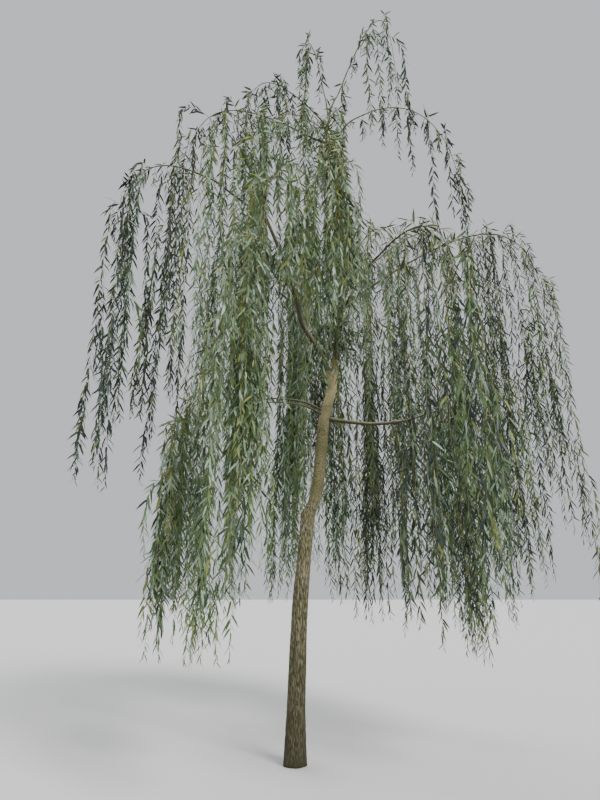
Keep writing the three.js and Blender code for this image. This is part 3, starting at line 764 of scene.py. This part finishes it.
def young_willow_bark():
    """Willow's bark on limbs a few years old: smooth, a little waxy and olive, with small corky pores. Its
    undersides are painted darker: painted shade, which turns to the olive where the skin faces up."""
    look = Look("young_willow_bark")
    place = look.place()
    patches = look.noise(place, 60, 4)
    from_pore = look.node("TexVoronoi", {"Vector": place, "Scale": 1 / (14 * MM)})["Distance"]
    pore = look.ramp(from_pore, (0.12, 0.3), (0.6, 0))
    olive = look.blend(patches, "#5c5b40", "#aaa57e")
    # Painted shade: the skin darkens to #2e2d1d where it faces down and keeps its olive where it faces up.
    up_facing_for_painted_shade = look.along_z(look.place("Normal"))
    skin = look.blend(look.ramp(up_facing_for_painted_shade, (-0.40, 0.60)), "#2e2d1d", olive)
    return look.finish({
        "Base Color": look.blend(pore, skin, "#8f8464"),
        "Roughness": look.ramp(patches, (0, 1), (0.55, 0.85)), "Normal": look.bump(pore, 0.6, 0.8),
    })


def dry_wood():
    """Bare willow wood, broken and weathered: pale straw, dry and matt, with fine grain along it."""
    look = Look("dry_wood")
    grain = look.noise(look.scaled(look.place(), (1, 1, 0.15)), 2, 3)
    return look.finish({"Base Color": look.blend(grain, "#a3987f", "#ddd5c2"), "Roughness": 0.9})


def whip_rind(name, colour):
    """The rind of a hanging twig of this year or last: smooth, with a soft shine. Its colour is plain."""
    look = Look(name)
    grain = look.noise(look.place(), 9, 2)
    return look.finish({"Base Color": colour, "Roughness": look.ramp(grain, (0, 1), (0.4, 0.65))})


def willow_leaf(name, colour, roughness):
    """A willow leaf's skin: a thin wax over fine veins, so it glints softly and isn't quite flat. Each tone
    is one plain colour: the upper sides are green, and the undersides have a silvery bloom."""
    look = Look(name)
    veins = look.noise(look.place(), 6, 2)
    return look.finish({
        "Base Color": colour, "Roughness": look.ramp(veins, (0, 1), (roughness - 0.08, roughness + 0.1)),
        "Normal": look.bump(veins, 0.35, 0.5), "Specular IOR Level": 0.45,
    })


# Leaf tones: colour and roughness, and how often a spray takes each in the crown's middle, at its outside
# and on its right.
LEAF_TONES = {
    "leaf_blue_green": ("#28352d", 0.5, (0.00, 0.50, 0.20)),
    "leaf_deep_green": ("#2e3d2c", 0.5, (0.12, 0.22, 0.29)),
    "leaf_green": ("#546b3c", 0.48, (0.32, 0.10, 0.23)),
    "leaf_grey_green": ("#647857", 0.55, (0.22, 0.10, 0.13)),
    "leaf_silver_underside": ("#9aad98", 0.62, (0.15, 0.03, 0.05)),
    "leaf_pale_underside": ("#7f927f", 0.6, (0.09, 0.04, 0.04)),
    "leaf_yellow_green": ("#7b8245", 0.5, (0.10, 0.01, 0.06)),
}
RIND_TONES = {"rind_olive": "#857f46", "rind_yellow": "#aa9c55"}

# Where the bark of the leader and of the left limb turns from the trunk's to that of the boughs.
YOUNG_FROM = 3.72
LIMB_FOOT = 3.62
# The trunk's bark in relief. Old bark has flecks of cork and long ridges, and above it the bark is smooth,
# with level wrinkles. The heights where these start or end come with the length of the change, the depths of
# cork and bumps are those on young and on old bark, and the shares say how much ridges and flecks add to it.
BARK = {
    "cork_ends": (1.8, 0.8), "wrinkles_start": (2.2, 0.2), "wrinkles_end": (3.5, 0.4),
    "cork_depth": (0.2 * MM, 2.8 * MM), "bump_depth": (0.8 * MM, 1.8 * MM), "wrinkle_depth": 0.9 * MM,
    "ridge_share": 0.45, "fleck_share": 0.75, "fine_share": 0.7,
}
# The patterns on the skin: how many cells or ridges go round it, how high each is, and the seed. Ridges
# wander aside by so many turns of their wave.
FLECKS = {"count": 46, "height": 0.055, "seed": 61}
FINE_FLECKS = {"count": 58, "height": 0.032, "seed": 67}
RIDGES = {"count": 24, "height": 0.13, "seed": 3, "wander": 2.4}
WRINKLES = {"cells": 13, "height": 0.021, "seed": 23}
BUMPS = {"cells": 18, "height": 0.03, "seed": 31}
LIMB_BUMPS = {"cells": 9, "height": 0.05, "seed": 41}
RING_WAVES = {"cells": 6, "height": 0.3, "seed": 51}
RING_BREAKS = {"cells": 8, "height": 0.05, "seed": 53}
# The trunk's knots and pruning scars: height, bearing, size, and how deep the middle is.
KNOTS = (
    (3.42, -22, 0.016, 0.007),
    (3.09, -20, 0.014, 0.006),
    (3.55, -100, 0.012, 0.005),
    (2.72, -75, 0.010, 0.003),
    (1.52, -40, 0.011, 0.003),
    (2.44, 70, 0.013, 0.004),
    (3.30, 120, 0.016, 0.006),
    (1.05, 150, 0.016, 0.004),
)
# A knot's form: how wide its sunk middle and the lip round it are, how deep and high as shares of its depth,
# and how much upright distances count, which makes it taller than wide.
KNOT = {"middle": 0.35, "lip": 0.12, "middle_depth": 1.1, "lip_height": 0.8, "upright": 0.8}
# The snag of a broken shoot on the knuckle: its height, bearing, size and how far it stands out.
SNAG = (2.165, 180, 0.010, 0.018)
# The pale stub of a broken shoot at the fork.
STUB = {
    "foot": (0.368, -0.030, 3.590), "tip": (0.462, -0.062, 3.715), "radius": 0.014, "blunt": 0.01,
    "rings": 9, "sides": 10,
}
# The crook of the left limb above its foot: its height, how far it reaches up and down, and how far aside.
CROOK = {"z": 4.12, "height": 0.20, "aside": -0.055}
# Rings left where the growing tip once paused: their places, and the height and depth of each, how far it
# strays up and down and how dark it is.
SCAR_RINGS = {
    "z": (0.86, 1.22, 1.47, 1.66, 1.84, 2.03, 2.62, 2.94, 3.24), "height": 0.006, "depth": 1.0 * MM,
    "uneven": 0.012, "dark": 0.5,
}
# A second stem beside a bough: how far it swings aside and hangs below, its thickness as a share, where it
# ends, where its swing would, how many half swings it makes in a whole line, its drop at its end and how
# blunt that is.
TWIN = {
    "of": "left_low", "aside": 0.040, "below": 0.052, "thick": 0.66, "ends": 0.62, "swing_ends": 0.66,
    "swings": 2.4, "end_below": 0.3, "blunt": 1.02, "sides": 10,
}
# The knob of a lost branch: its place on the line, its width and its swelling.
KNOB = {"of": "right_low", "place": 0.43, "width": 0.016, "swelling": 1.0}
# Where buds once stood a stem is swollen: how far apart these nodes are, how many, how long and how swollen.
# Where it is bare it bends aside: over what length, how far, and the least share that counts as bare.
NODES = {"apart": (0.16, 0.3), "count": 10, "length": 0.012, "swelling": 0.22}
BEND = {"length": 0.24, "aside": 0.05, "least_bare": 0.2}
# How finely each skin is divided, with the depth of its bumps and the swelling at the left limb's foot.
TRUNK_MESH = {"sides": 176, "step": 0.011, "leader_step": 0.045}
LIMB_MESH = {"rings": 130, "sides": 28, "bump": 2.0 * MM, "collar": 0.35, "collar_length": 0.10}
STEM_MESH = {"rings": 72, "sides": 12, "bump": 0.16, "bump_cells": 5, "bump_height": 0.04}


def soft_noise(around, z, cells, height, seed):
    """Smooth noise from 0 to 1 on a limb's skin, in cells of that height, and so many of them round it.
    around runs from 0 to 1."""
    up = z / height
    table = np.random.default_rng(seed).random((int(up.max()) + 3, cells))
    column = around * cells
    left = np.floor(column).astype(int)
    below = np.floor(up).astype(int)
    near = left % cells
    far = (left + 1) % cells
    side_share = smooth_step(column - left)
    low = between((table[below, near], table[below, far]), side_share)
    high = between((table[below + 1, near], table[below + 1, far]), side_share)
    return between((low, high), smooth_step(up - below))


def wrapped(lengths, sides):
    """For each vertex of a tube, how far round it lies, from 0 to 1, and its length along it."""
    around = np.broadcast_to(np.arange(sides) / sides, (len(lengths), sides))
    return around, np.broadcast_to(lengths[:, None], around.shape)


def cork_flecks(around, z, count, height, seed):
    """Short upright flecks of cork in no order: 1 on their tops and 0 between them."""
    slant, slant_height, edge = 0.03, 3, 0.22
    shift = slant * (soft_noise(around, z, count // 4, slant_height * height, seed) - 0.5)
    field = soft_noise((around + shift) % 1, z, count, height, seed + 1)
    return rise(field, 0.5, edge)


def ridges(around, z, count, height, seed, wander):
    """Narrow upright ridges that wander, part and end: 1 on their tops and 0 between them."""
    edge, break_height, least_whole, break_edge = 0.4, 0.4, 0.3, 0.2
    shift = soft_noise(around, z, count // 3, height, seed) - 0.5
    line = 0.5 + 0.5 * np.cos(2 * math.pi * (around * count + wander * shift))
    whole = soft_noise(around, z, count // 2, break_height * height, seed + 1)
    return rise(line, 0.5, edge) * rise(whole, least_whole, break_edge)


def apart_from(angle, z, radius, height, bearing):
    """How far a place on the trunk's skin is from another, given by its height and bearing."""
    turn = (angle - math.radians(bearing) + math.pi) % (2 * math.pi) - math.pi
    return np.hypot(turn * radius, (z - height) * KNOT["upright"])


def knot_relief(angle, z, radius):
    """A raised lip round a sunk middle at each of the trunk's knots, and how dark each makes the bark."""
    relief = np.zeros_like(z)
    dark = np.zeros_like(z)
    for height, bearing, size, depth in KNOTS:
        apart = apart_from(angle, z, radius, height, bearing) / size
        middle = np.exp(-apart**2 / KNOT["middle"])
        lip = np.exp(-(apart - 1)**2 / KNOT["lip"])
        relief += depth * (KNOT["lip_height"] * lip - KNOT["middle_depth"] * middle)
        dark = np.maximum(dark, middle)
    height, bearing, size, out = SNAG
    relief += out * hump(apart_from(angle, z, radius, height, bearing), 0, size)
    return relief, dark


def scar_rings(around, z):
    """Faint level rings: 1 in their middle and 0 away from them."""
    uneven = SCAR_RINGS["uneven"] * (soft_noise(around, z, **RING_WAVES) - 0.5)
    rings = [hump(z + uneven, height, SCAR_RINGS["height"]) for height in SCAR_RINGS["z"]]
    return np.sum(rings, axis=0) * soft_noise(around, z, **RING_BREAKS)


def bark_relief(around, z, radius):
    """How far the trunk's bark stands out, how high its cork is from 0 to 1, and how dark knots and rings
    make it."""
    age = 1 - rise(z, *BARK["cork_ends"])
    fine_flecks = BARK["fine_share"] * cork_flecks(around, z, **FINE_FLECKS)
    flecks = np.maximum(cork_flecks(around, z, **FLECKS), fine_flecks)
    cork = np.clip(BARK["ridge_share"] * ridges(around, z, **RIDGES) + BARK["fleck_share"] * flecks, 0, 1)
    wrinkled = rise(z, *BARK["wrinkles_start"]) * (1 - rise(z, *BARK["wrinkles_end"]))
    wrinkles = BARK["wrinkle_depth"] * wrinkled * (soft_noise(around, z, **WRINKLES) - 0.5)
    bumps = between(BARK["bump_depth"], age) * (soft_noise(around, z, **BUMPS) - 0.5)
    knots, dark = knot_relief(2 * math.pi * around, z, radius)
    rings = scar_rings(around, z)
    relief = bumps + between(BARK["cork_depth"], age) * (cork - 0.5) + wrinkles + knots
    return relief - SCAR_RINGS["depth"] * rings, cork, np.maximum(dark, SCAR_RINGS["dark"] * rings)


def trunk_and_leader():
    """The trunk from its flat cut, and the leader that carries it on, as one skin with its bark in relief."""
    sides = TRUNK_MESH["sides"]
    trunk_shares = np.linspace(0, 1, int(TRUNK[-1, 2] / TRUNK_MESH["step"]))
    leader_rings = int((LEADER[-1, 2] - LEADER[0, 2]) / TRUNK_MESH["leader_step"])
    leader_shares = np.linspace(0, 1, leader_rings + 1)[1:]
    points = np.vstack([limb_points(TRUNK, trunk_shares), limb_points(LEADER, leader_shares)])
    thick = np.concatenate([limb_thickness(TRUNK, trunk_shares), limb_thickness(LEADER, leader_shares)])
    around, z = wrapped(points[:, 2], sides)
    angle = 2 * math.pi * around
    lobes = ROOT_FLARE["relief"] * np.cos(ROOT_FLARE["lobes"] * angle + ROOT_FLARE["turn"])
    flare = np.exp(-z / ROOT_FLARE["height"]) * (ROOT_FLARE["swell"] + lobes)
    left_side = np.maximum(0, -np.cos(angle))
    knuckle = KNUCKLE["bulge"] * hump(z, KNUCKLE["z"], KNUCKLE["height"]) * left_side
    smooth = thick[:, None] / 2 + flare + knuckle
    relief, cork, dark = bark_relief(around, z, smooth)
    vertices, triangles = tube(points, smooth + relief, sides, heading(0), level=True)
    vertices[:, 2] = np.maximum(vertices[:, 2], 0)
    heap = Heap()
    heap.add(vertices, triangles, band_looks(points[:, 2] > YOUNG_FROM, sides))
    heap.add(*stem_tube(MASS_BY_NAME["crown_top"]), 1)
    heap.add(*stub(), 2)
    materials = [OLD_BARK, YOUNG_BARK, BARE_WOOD]
    piece = heap.piece("bark_trunk_and_leader", materials, "trunk_bark", ["trunk", "leader"])
    note(piece, "relief", cork)
    note(piece, "knot", dark)


def band_looks(is_young, sides):
    """The place of the material of each triangle of a tube: 1 where its ring is young bark, 0 elsewhere."""
    wall = is_young[:-1].repeat(sides)
    return np.concatenate([wall, wall, is_young[:1].repeat(sides), is_young[-1:].repeat(sides)])


def stub():
    """The pale, pointed stub of a broken shoot that leans on the leader's foot."""
    foot, tip = np.array(STUB["foot"]), np.array(STUB["tip"])
    share = np.linspace(0, 1, STUB["rings"])
    radii = STUB["radius"] * np.sqrt(np.maximum(1 - share, STUB["blunt"]))
    return tube(foot + (tip - foot) * share[:, None], radii, STUB["sides"], heading(90))


def note(piece, name, values):
    """Stores a value from 0 to 1 for each of the trunk's vertices, which the bark's colours read."""
    kept = np.zeros(len(piece.data.vertices), np.float32)
    kept[:values.size] = values.ravel()
    attribute = piece.data.attributes.new(name, "FLOAT", "POINT")
    attribute.data.foreach_set("value", kept)


def left_limb_tube():
    """The left limb's skin with slight bumps, and a collar where it leaves the trunk."""
    shares = np.linspace(0, 1, LIMB_MESH["rings"])
    points = crooked(limb_points(LEFT_LIMB, shares))
    along = lengths_along(points)
    collar = 1 + LIMB_MESH["collar"] * np.exp(-along / LIMB_MESH["collar_length"])
    radius = limb_thickness(LEFT_LIMB, shares) / 2 * collar
    bumps = LIMB_MESH["bump"] * (soft_noise(*wrapped(along, LIMB_MESH["sides"]), **LIMB_BUMPS) - 0.5)
    return tube(points, radius[:, None] + bumps, LIMB_MESH["sides"], heading(0))


def bough_line(mass, shares):
    """A bough's own line as it hangs, a little crooked where it is bare."""
    points = hung_points(mass, shares)
    along = lengths_along(points)
    wobble = soft_noise(np.zeros(len(along)), along, 1, BEND["length"], mass.seed + 1) - 0.5
    strength = np.sin(math.pi * np.clip(shares / max(mass.bare, BEND["least_bare"]), 0, 1))
    return points + heading(mass.bearing + 90) * (BEND["aside"] * wobble * strength)[:, None]


def twin_tube(mass):
    """A second slender stem that leaves the trunk beside a bough and runs with it into its foliage."""
    shares = np.linspace(0, TWIN["ends"], LINE_STEPS)
    to_end = shares / TWIN["ends"]
    apart = np.sin(math.pi * np.clip(shares / TWIN["swing_ends"], 0, 1))
    swing = np.cos(TWIN["swings"] * math.pi * shares)
    points = bough_line(mass, shares)
    points += heading(mass.bearing + 90) * (TWIN["aside"] * apart * swing)[:, None]
    points[:, 2] -= TWIN["below"] * between((1, TWIN["end_below"]), to_end)
    radius = bough_radius(mass, shares) * TWIN["thick"] * np.sqrt(np.clip(TWIN["blunt"] - to_end, 0, 1))
    return tube(points, radius, TWIN["sides"], heading(mass.bearing + 90))


def stem_tube(mass):
    """A bough and the stem that carries it on, in one tapering tube with slight bumps and swollen nodes."""
    shares = np.linspace(0, 1, STEM_MESH["rings"])
    points = bough_line(mass, shares)
    along = lengths_along(points)
    radius = bough_radius(mass, shares) * (TWIN["thick"] if mass.name == TWIN["of"] else 1)
    rng = np.random.default_rng(mass.seed)
    for node in np.cumsum(rng.uniform(*NODES["apart"], NODES["count"])):
        radius = radius * (1 + NODES["swelling"] * hump(along, node, NODES["length"]))
    if mass.name == KNOB["of"]:
        radius = radius * (1 + KNOB["swelling"] * hump(shares, KNOB["place"], KNOB["width"]))
    around, up = wrapped(along, STEM_MESH["sides"])
    bumps = soft_noise(around, up, STEM_MESH["bump_cells"], STEM_MESH["bump_height"], mass.seed) - 0.5
    radii = radius[:, None] * (1 + STEM_MESH["bump"] * bumps)
    return tube(points, radii, STEM_MESH["sides"], heading(mass.bearing + 90))


def left_limb():
    """The limb that forks to the left, with its tip that arches over."""
    heap = Heap()
    vertices, triangles = left_limb_tube()
    heap.add(vertices, triangles, vertices[triangles, 2].mean(axis=1) < LIMB_FOOT)
    heap.add(*stem_tube(MASS_BY_NAME["left_limb_top"]))
    heap.piece("bark_left_limb", [YOUNG_BARK, OLD_BARK], "bough_bark", ["left_limb"])


def main_bough(mass):
    """One bough with its stem."""
    heap = Heap()
    heap.add(*stem_tube(mass))
    if mass.name == TWIN["of"]:
        heap.add(*twin_tube(mass))
    heap.piece(f"bark_{mass.name}", [YOUNG_BARK], "bough_bark", [mass.bough])


def in_box(points):
    """Which points lie within the solids' box, give or take a little."""
    low, high = (np.array(corner) for corner in cad_box)
    return ((points > low - BOX_MARGIN) & (points < high + BOX_MARGIN)).all(axis=1)


def leaves_on(path, rng, size):
    """Where leaves stand on a whip: their roots, the way they point, the way their upper side faces, and
    their lengths. Smaller leaves stand closer."""
    along = lengths_along(path)
    count = int(along[-1] / (size * LEAF["spacing"][0]))
    at = LEAF["bare_start"] * rng.random() + size * np.cumsum(rng.uniform(*LEAF["spacing"], count))
    at = at[at < along[-1]]
    ways = frame_along(path, heading(rng.uniform(0, 360)))
    tangent, across, over = (unit(at_lengths(way, along, at)) for way in ways)
    turn = LEAF["turn"] * np.arange(len(at)) + rng.normal(0, LEAF["turn_error"], len(at))
    turn = np.radians(turn + rng.uniform(0, 360))[:, None]
    outward = across * np.cos(turn) + over * np.sin(turn)
    angle = np.radians(rng.uniform(*LEAF["angle"], len(at)))[:, None]
    axis = tangent * np.cos(angle) + outward * np.sin(angle)
    axis = unit(axis - LEAF["hang"] * UP)
    facing = outward + LEAF["faces_up"] * UP + rng.normal(0, LEAF["facing_error"], (len(at), 3))
    facing = unit(facing - (facing * axis).sum(axis=1)[:, None] * axis)
    from_tip = np.clip((along[-1] - at) / LEAF["short_tip"], 0, 1)
    length = size * rng.uniform(*LEAF["length"], len(at)) * between((LEAF["tip_size"], 1), from_tip)
    return points_along(path, at), axis, facing, length


# A leaf's outline: the share of its length and of its half width at its base, at two rows and at its tip.
LEAF_ROWS = ((0.21, 0.90), (0.60, 0.84))
LEAF_ALONG = np.array([0] + [along for along, _ in LEAF_ROWS for _ in range(3)] + [1])
LEAF_ACROSS = np.array([0] + [side * wide for _, wide in LEAF_ROWS for side in (-1, 0, 1)] + [0])
LEAF_FACES = np.array([
    (0, 2, 1), (0, 3, 2), (1, 2, 5), (1, 5, 4), (2, 3, 6), (2, 6, 5), (4, 5, 7), (5, 6, 7),
])


def leaf_shapes(roots, axis, facing, length, breadth, rng):
    """Vertices and triangles of many leaves: lance-shaped, folded along the midrib and bent to the tip."""
    half_width = breadth * length * rng.uniform(*LEAF["slim"], len(length)) / 2
    droop = rng.uniform(*LEAF["droop"], len(length)) * length
    curl = rng.normal(0, LEAF["curl"], len(length)) * length
    first = (np.arange(len(length)) * len(LEAF_ALONG))[:, None, None]
    across = np.cross(facing, axis)[:, None]
    roots, axis, facing = (values[:, None] for values in (roots, axis, facing))
    length, half_width, droop, curl = (values[:, None, None] for values in (length, half_width, droop, curl))
    along, aside = LEAF_ALONG[None, :, None], LEAF_ACROSS[None, :, None]
    midrib = roots + axis * along * length + across * along**2 * curl - facing * along**2 * droop
    vertices = midrib + across * aside * half_width + facing * np.abs(aside) * LEAF["fold"] * half_width
    return vertices.reshape(-1, 3), (LEAF_FACES[None] + first).reshape(-1, 3)


def middle_and_end(path):
    """The two places of a shoot that are tested."""
    return path[[len(path) // 2, -1]]


def hangs_clear(path):
    """Whether a shoot ends clear of the boughs and of the opening before the trunk."""
    is_low = path[-1, 2] < WINDOW["sill"]
    is_before_trunk = is_low and any(in_window(x, y) for x, y, _ in middle_and_end(path))
    return not is_before_trunk and clear_of_wood(path[-2:]).all()


def finds_room(mass, path):
    """Whether a shoot hangs clear and keeps to its mass's own space."""
    is_clear = hangs_clear(path) and clear_of_wood(path[NEAR_ROOT["shoot"]:]).all()
    return is_clear and in_own_space(mass, middle_and_end(path)).all()


def strands_of(mass):
    """The paths of a mass's whips, of their side shoots and of the sprays on its stem, each with its radius
    at the root and with the dice for its leaves."""
    whips_wanted = max(mass.whips, round(mass.strands / STRANDS_PER_WHIP))
    shoots_each = mass.strands / whips_wanted - 1
    grown = 0
    lot = mass.lot * LOT_STRIDE
    for number in range(MOST_TRIES):
        if grown == whips_wanted:
            break
        is_extra = grown >= mass.whips
        stretch = EXTRA_STRETCH.get(mass.name, 1) if is_extra else 1
        whip = draw_whip(mass, number + lot if is_extra else number, stretch)
        if whip is None:
            continue
        rng = np.random.default_rng(mass.seed + number + lot)
        if is_extra:
            whip.run *= rng.uniform(*EXTRA_RUN)
        line = fine_whip(whip, rng)
        if not clear_of_wood(line[NEAR_ROOT["whip"]:]).all():
            continue
        grown += 1
        yield line, TWIG["root"], rng
        shoots = shoots_each * between((1, THIN_END.get(mass.name, 1)), whip.on_stem)
        beside = list(side_shoots(line, int(shoots + rng.random()), SHOOT["root"], rng))
        beside += side_shoots(line, mass.low_shoots, SHOOT["low_root"], rng)
        for shoot in beside:
            if finds_room(mass, shoot):
                yield shoot, TWIG["shoot_root"], rng
    rng = np.random.default_rng(mass.seed)
    for shoot in [*stem_sprays(mass, rng), *limb_shoots(mass, rng)]:
        if hangs_clear(shoot):
            yield shoot, TWIG["shoot_root"], rng


def foliage(mass):
    """A mass's whips and side shoots in one piece and its leaves in another."""
    twigs, leaves = Heap(), Heap()
    odds = [shares[mass.part] for _, _, shares in LEAF_TONES.values()]
    tones = np.arange(len(odds))
    for path, radius, rng in strands_of(mass):
        radii = between((radius, TWIG["tip"]), np.linspace(0, 1, len(path)))
        vertices, triangles = tube(path, radii, TWIG["sides"], heading(rng.uniform(0, 360)))
        twigs.add(vertices, triangles, int(rng.random() < TWIG["yellow"]))
        roots, axis, facing, length = leaves_on(path, rng, mass.leaf_size)
        tips = roots + axis * length[:, None]
        middles = (roots + tips) / 2
        kept = in_box(tips) & clear_of_wood(tips) & clear_of_wood(middles)
        kept &= ~(before_glimpse(middles) | before_glimpse(tips))
        roots, axis, facing, length = (values[kept] for values in (roots, axis, facing, length))
        spray_tone = rng.choice(tones, p=odds)
        own_tone = rng.choice(tones, p=odds, size=len(length))
        tone = np.where(rng.random(len(length)) < SHARED_TONE, spray_tone, own_tone)
        vertices, triangles = leaf_shapes(roots, axis, facing, length, LEAF_BREADTH[mass.part], rng)
        leaves.add(vertices, triangles, np.repeat(tone, len(LEAF_FACES)))
    node = f"mass_{mass.name}"
    twigs.piece(f"twigs_{mass.name}", RINDS, "bough_bark", [node])
    leaves.piece(f"leaves_{mass.name}", LEAVES, "foliage", [node])


# The studio: half the floor's side and how far it lies under the tree, and the camera's lens, tilt and reach.
# Lights: strength, how wide each is seen and how it is turned.
BACKDROP = {"colour": "#e4e8ec", "strength": 0.85}
FLOOR = {"half": 60, "z": -0.002}
CAMERA = {"sensor_height": 36, "lens": 27, "tilt": 17.1, "clip_end": 200}
LIGHTS = {"key": (3.4, 20, (48, 0, 38)), "rim": (0.9, 50, (-40, 0, 30))}


def studio():
    """A plain pale floor, soft light from above and a camera where the photograph was taken from."""
    half = FLOOR["half"]
    corners = [(-half, -half, 0), (half, -half, 0), (half, half, 0), (-half, half, 0)]
    mesh = bpy.data.meshes.new("studio_floor")
    mesh.from_pydata(corners, [], [(0, 1, 2, 3)])
    mesh.materials.append(Look("matt_paint").finish({"Base Color": "#d9d9d6", "Roughness": 0.9}))
    floor = linked("studio_floor", mesh)
    floor.location.z = FLOOR["z"]
    floor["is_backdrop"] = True
    world = bpy.data.worlds.new("studio")
    world.use_nodes = True
    backdrop = world.node_tree.nodes["Background"]
    backdrop.inputs["Color"].default_value = linear(BACKDROP["colour"])
    backdrop.inputs["Strength"].default_value = BACKDROP["strength"]
    bpy.context.scene.world = world
    for name, (strength, angle, turn) in LIGHTS.items():
        lamp = bpy.data.lights.new(name, "SUN")
        lamp.energy = strength
        lamp.angle = math.radians(angle)
        linked(name, lamp).rotation_euler = [math.radians(part) for part in turn]
    camera = linked("camera", bpy.data.cameras.new("camera"))
    camera.data.sensor_fit = "VERTICAL"
    camera.data.sensor_height = CAMERA["sensor_height"]
    camera.data.lens = CAMERA["lens"]
    camera.data.clip_end = CAMERA["clip_end"]
    camera.location = EYE
    camera.rotation_euler = (math.radians(90 + CAMERA["tilt"]), 0, 0)
    bpy.context.scene.camera = camera


OLD_BARK = old_willow_bark()
YOUNG_BARK = young_willow_bark()
BARE_WOOD = dry_wood()
RINDS = [whip_rind(name, colour) for name, colour in RIND_TONES.items()]
LEAVES = [willow_leaf(name, colour, rough) for name, (colour, rough, _) in LEAF_TONES.items()]
MASSES = grow_masses()
MASS_BY_NAME = {mass.name: mass for mass in MASSES}
WOOD = wood_stretches()
GLIMPSED = glimpsed_places()

trunk_and_leader()
left_limb()
for mass in MASSES:
    if mass.bough:
        main_bough(mass)
    foliage(mass)
studio()

[[list(corner) for corner in box] for box in (cad_box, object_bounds())]
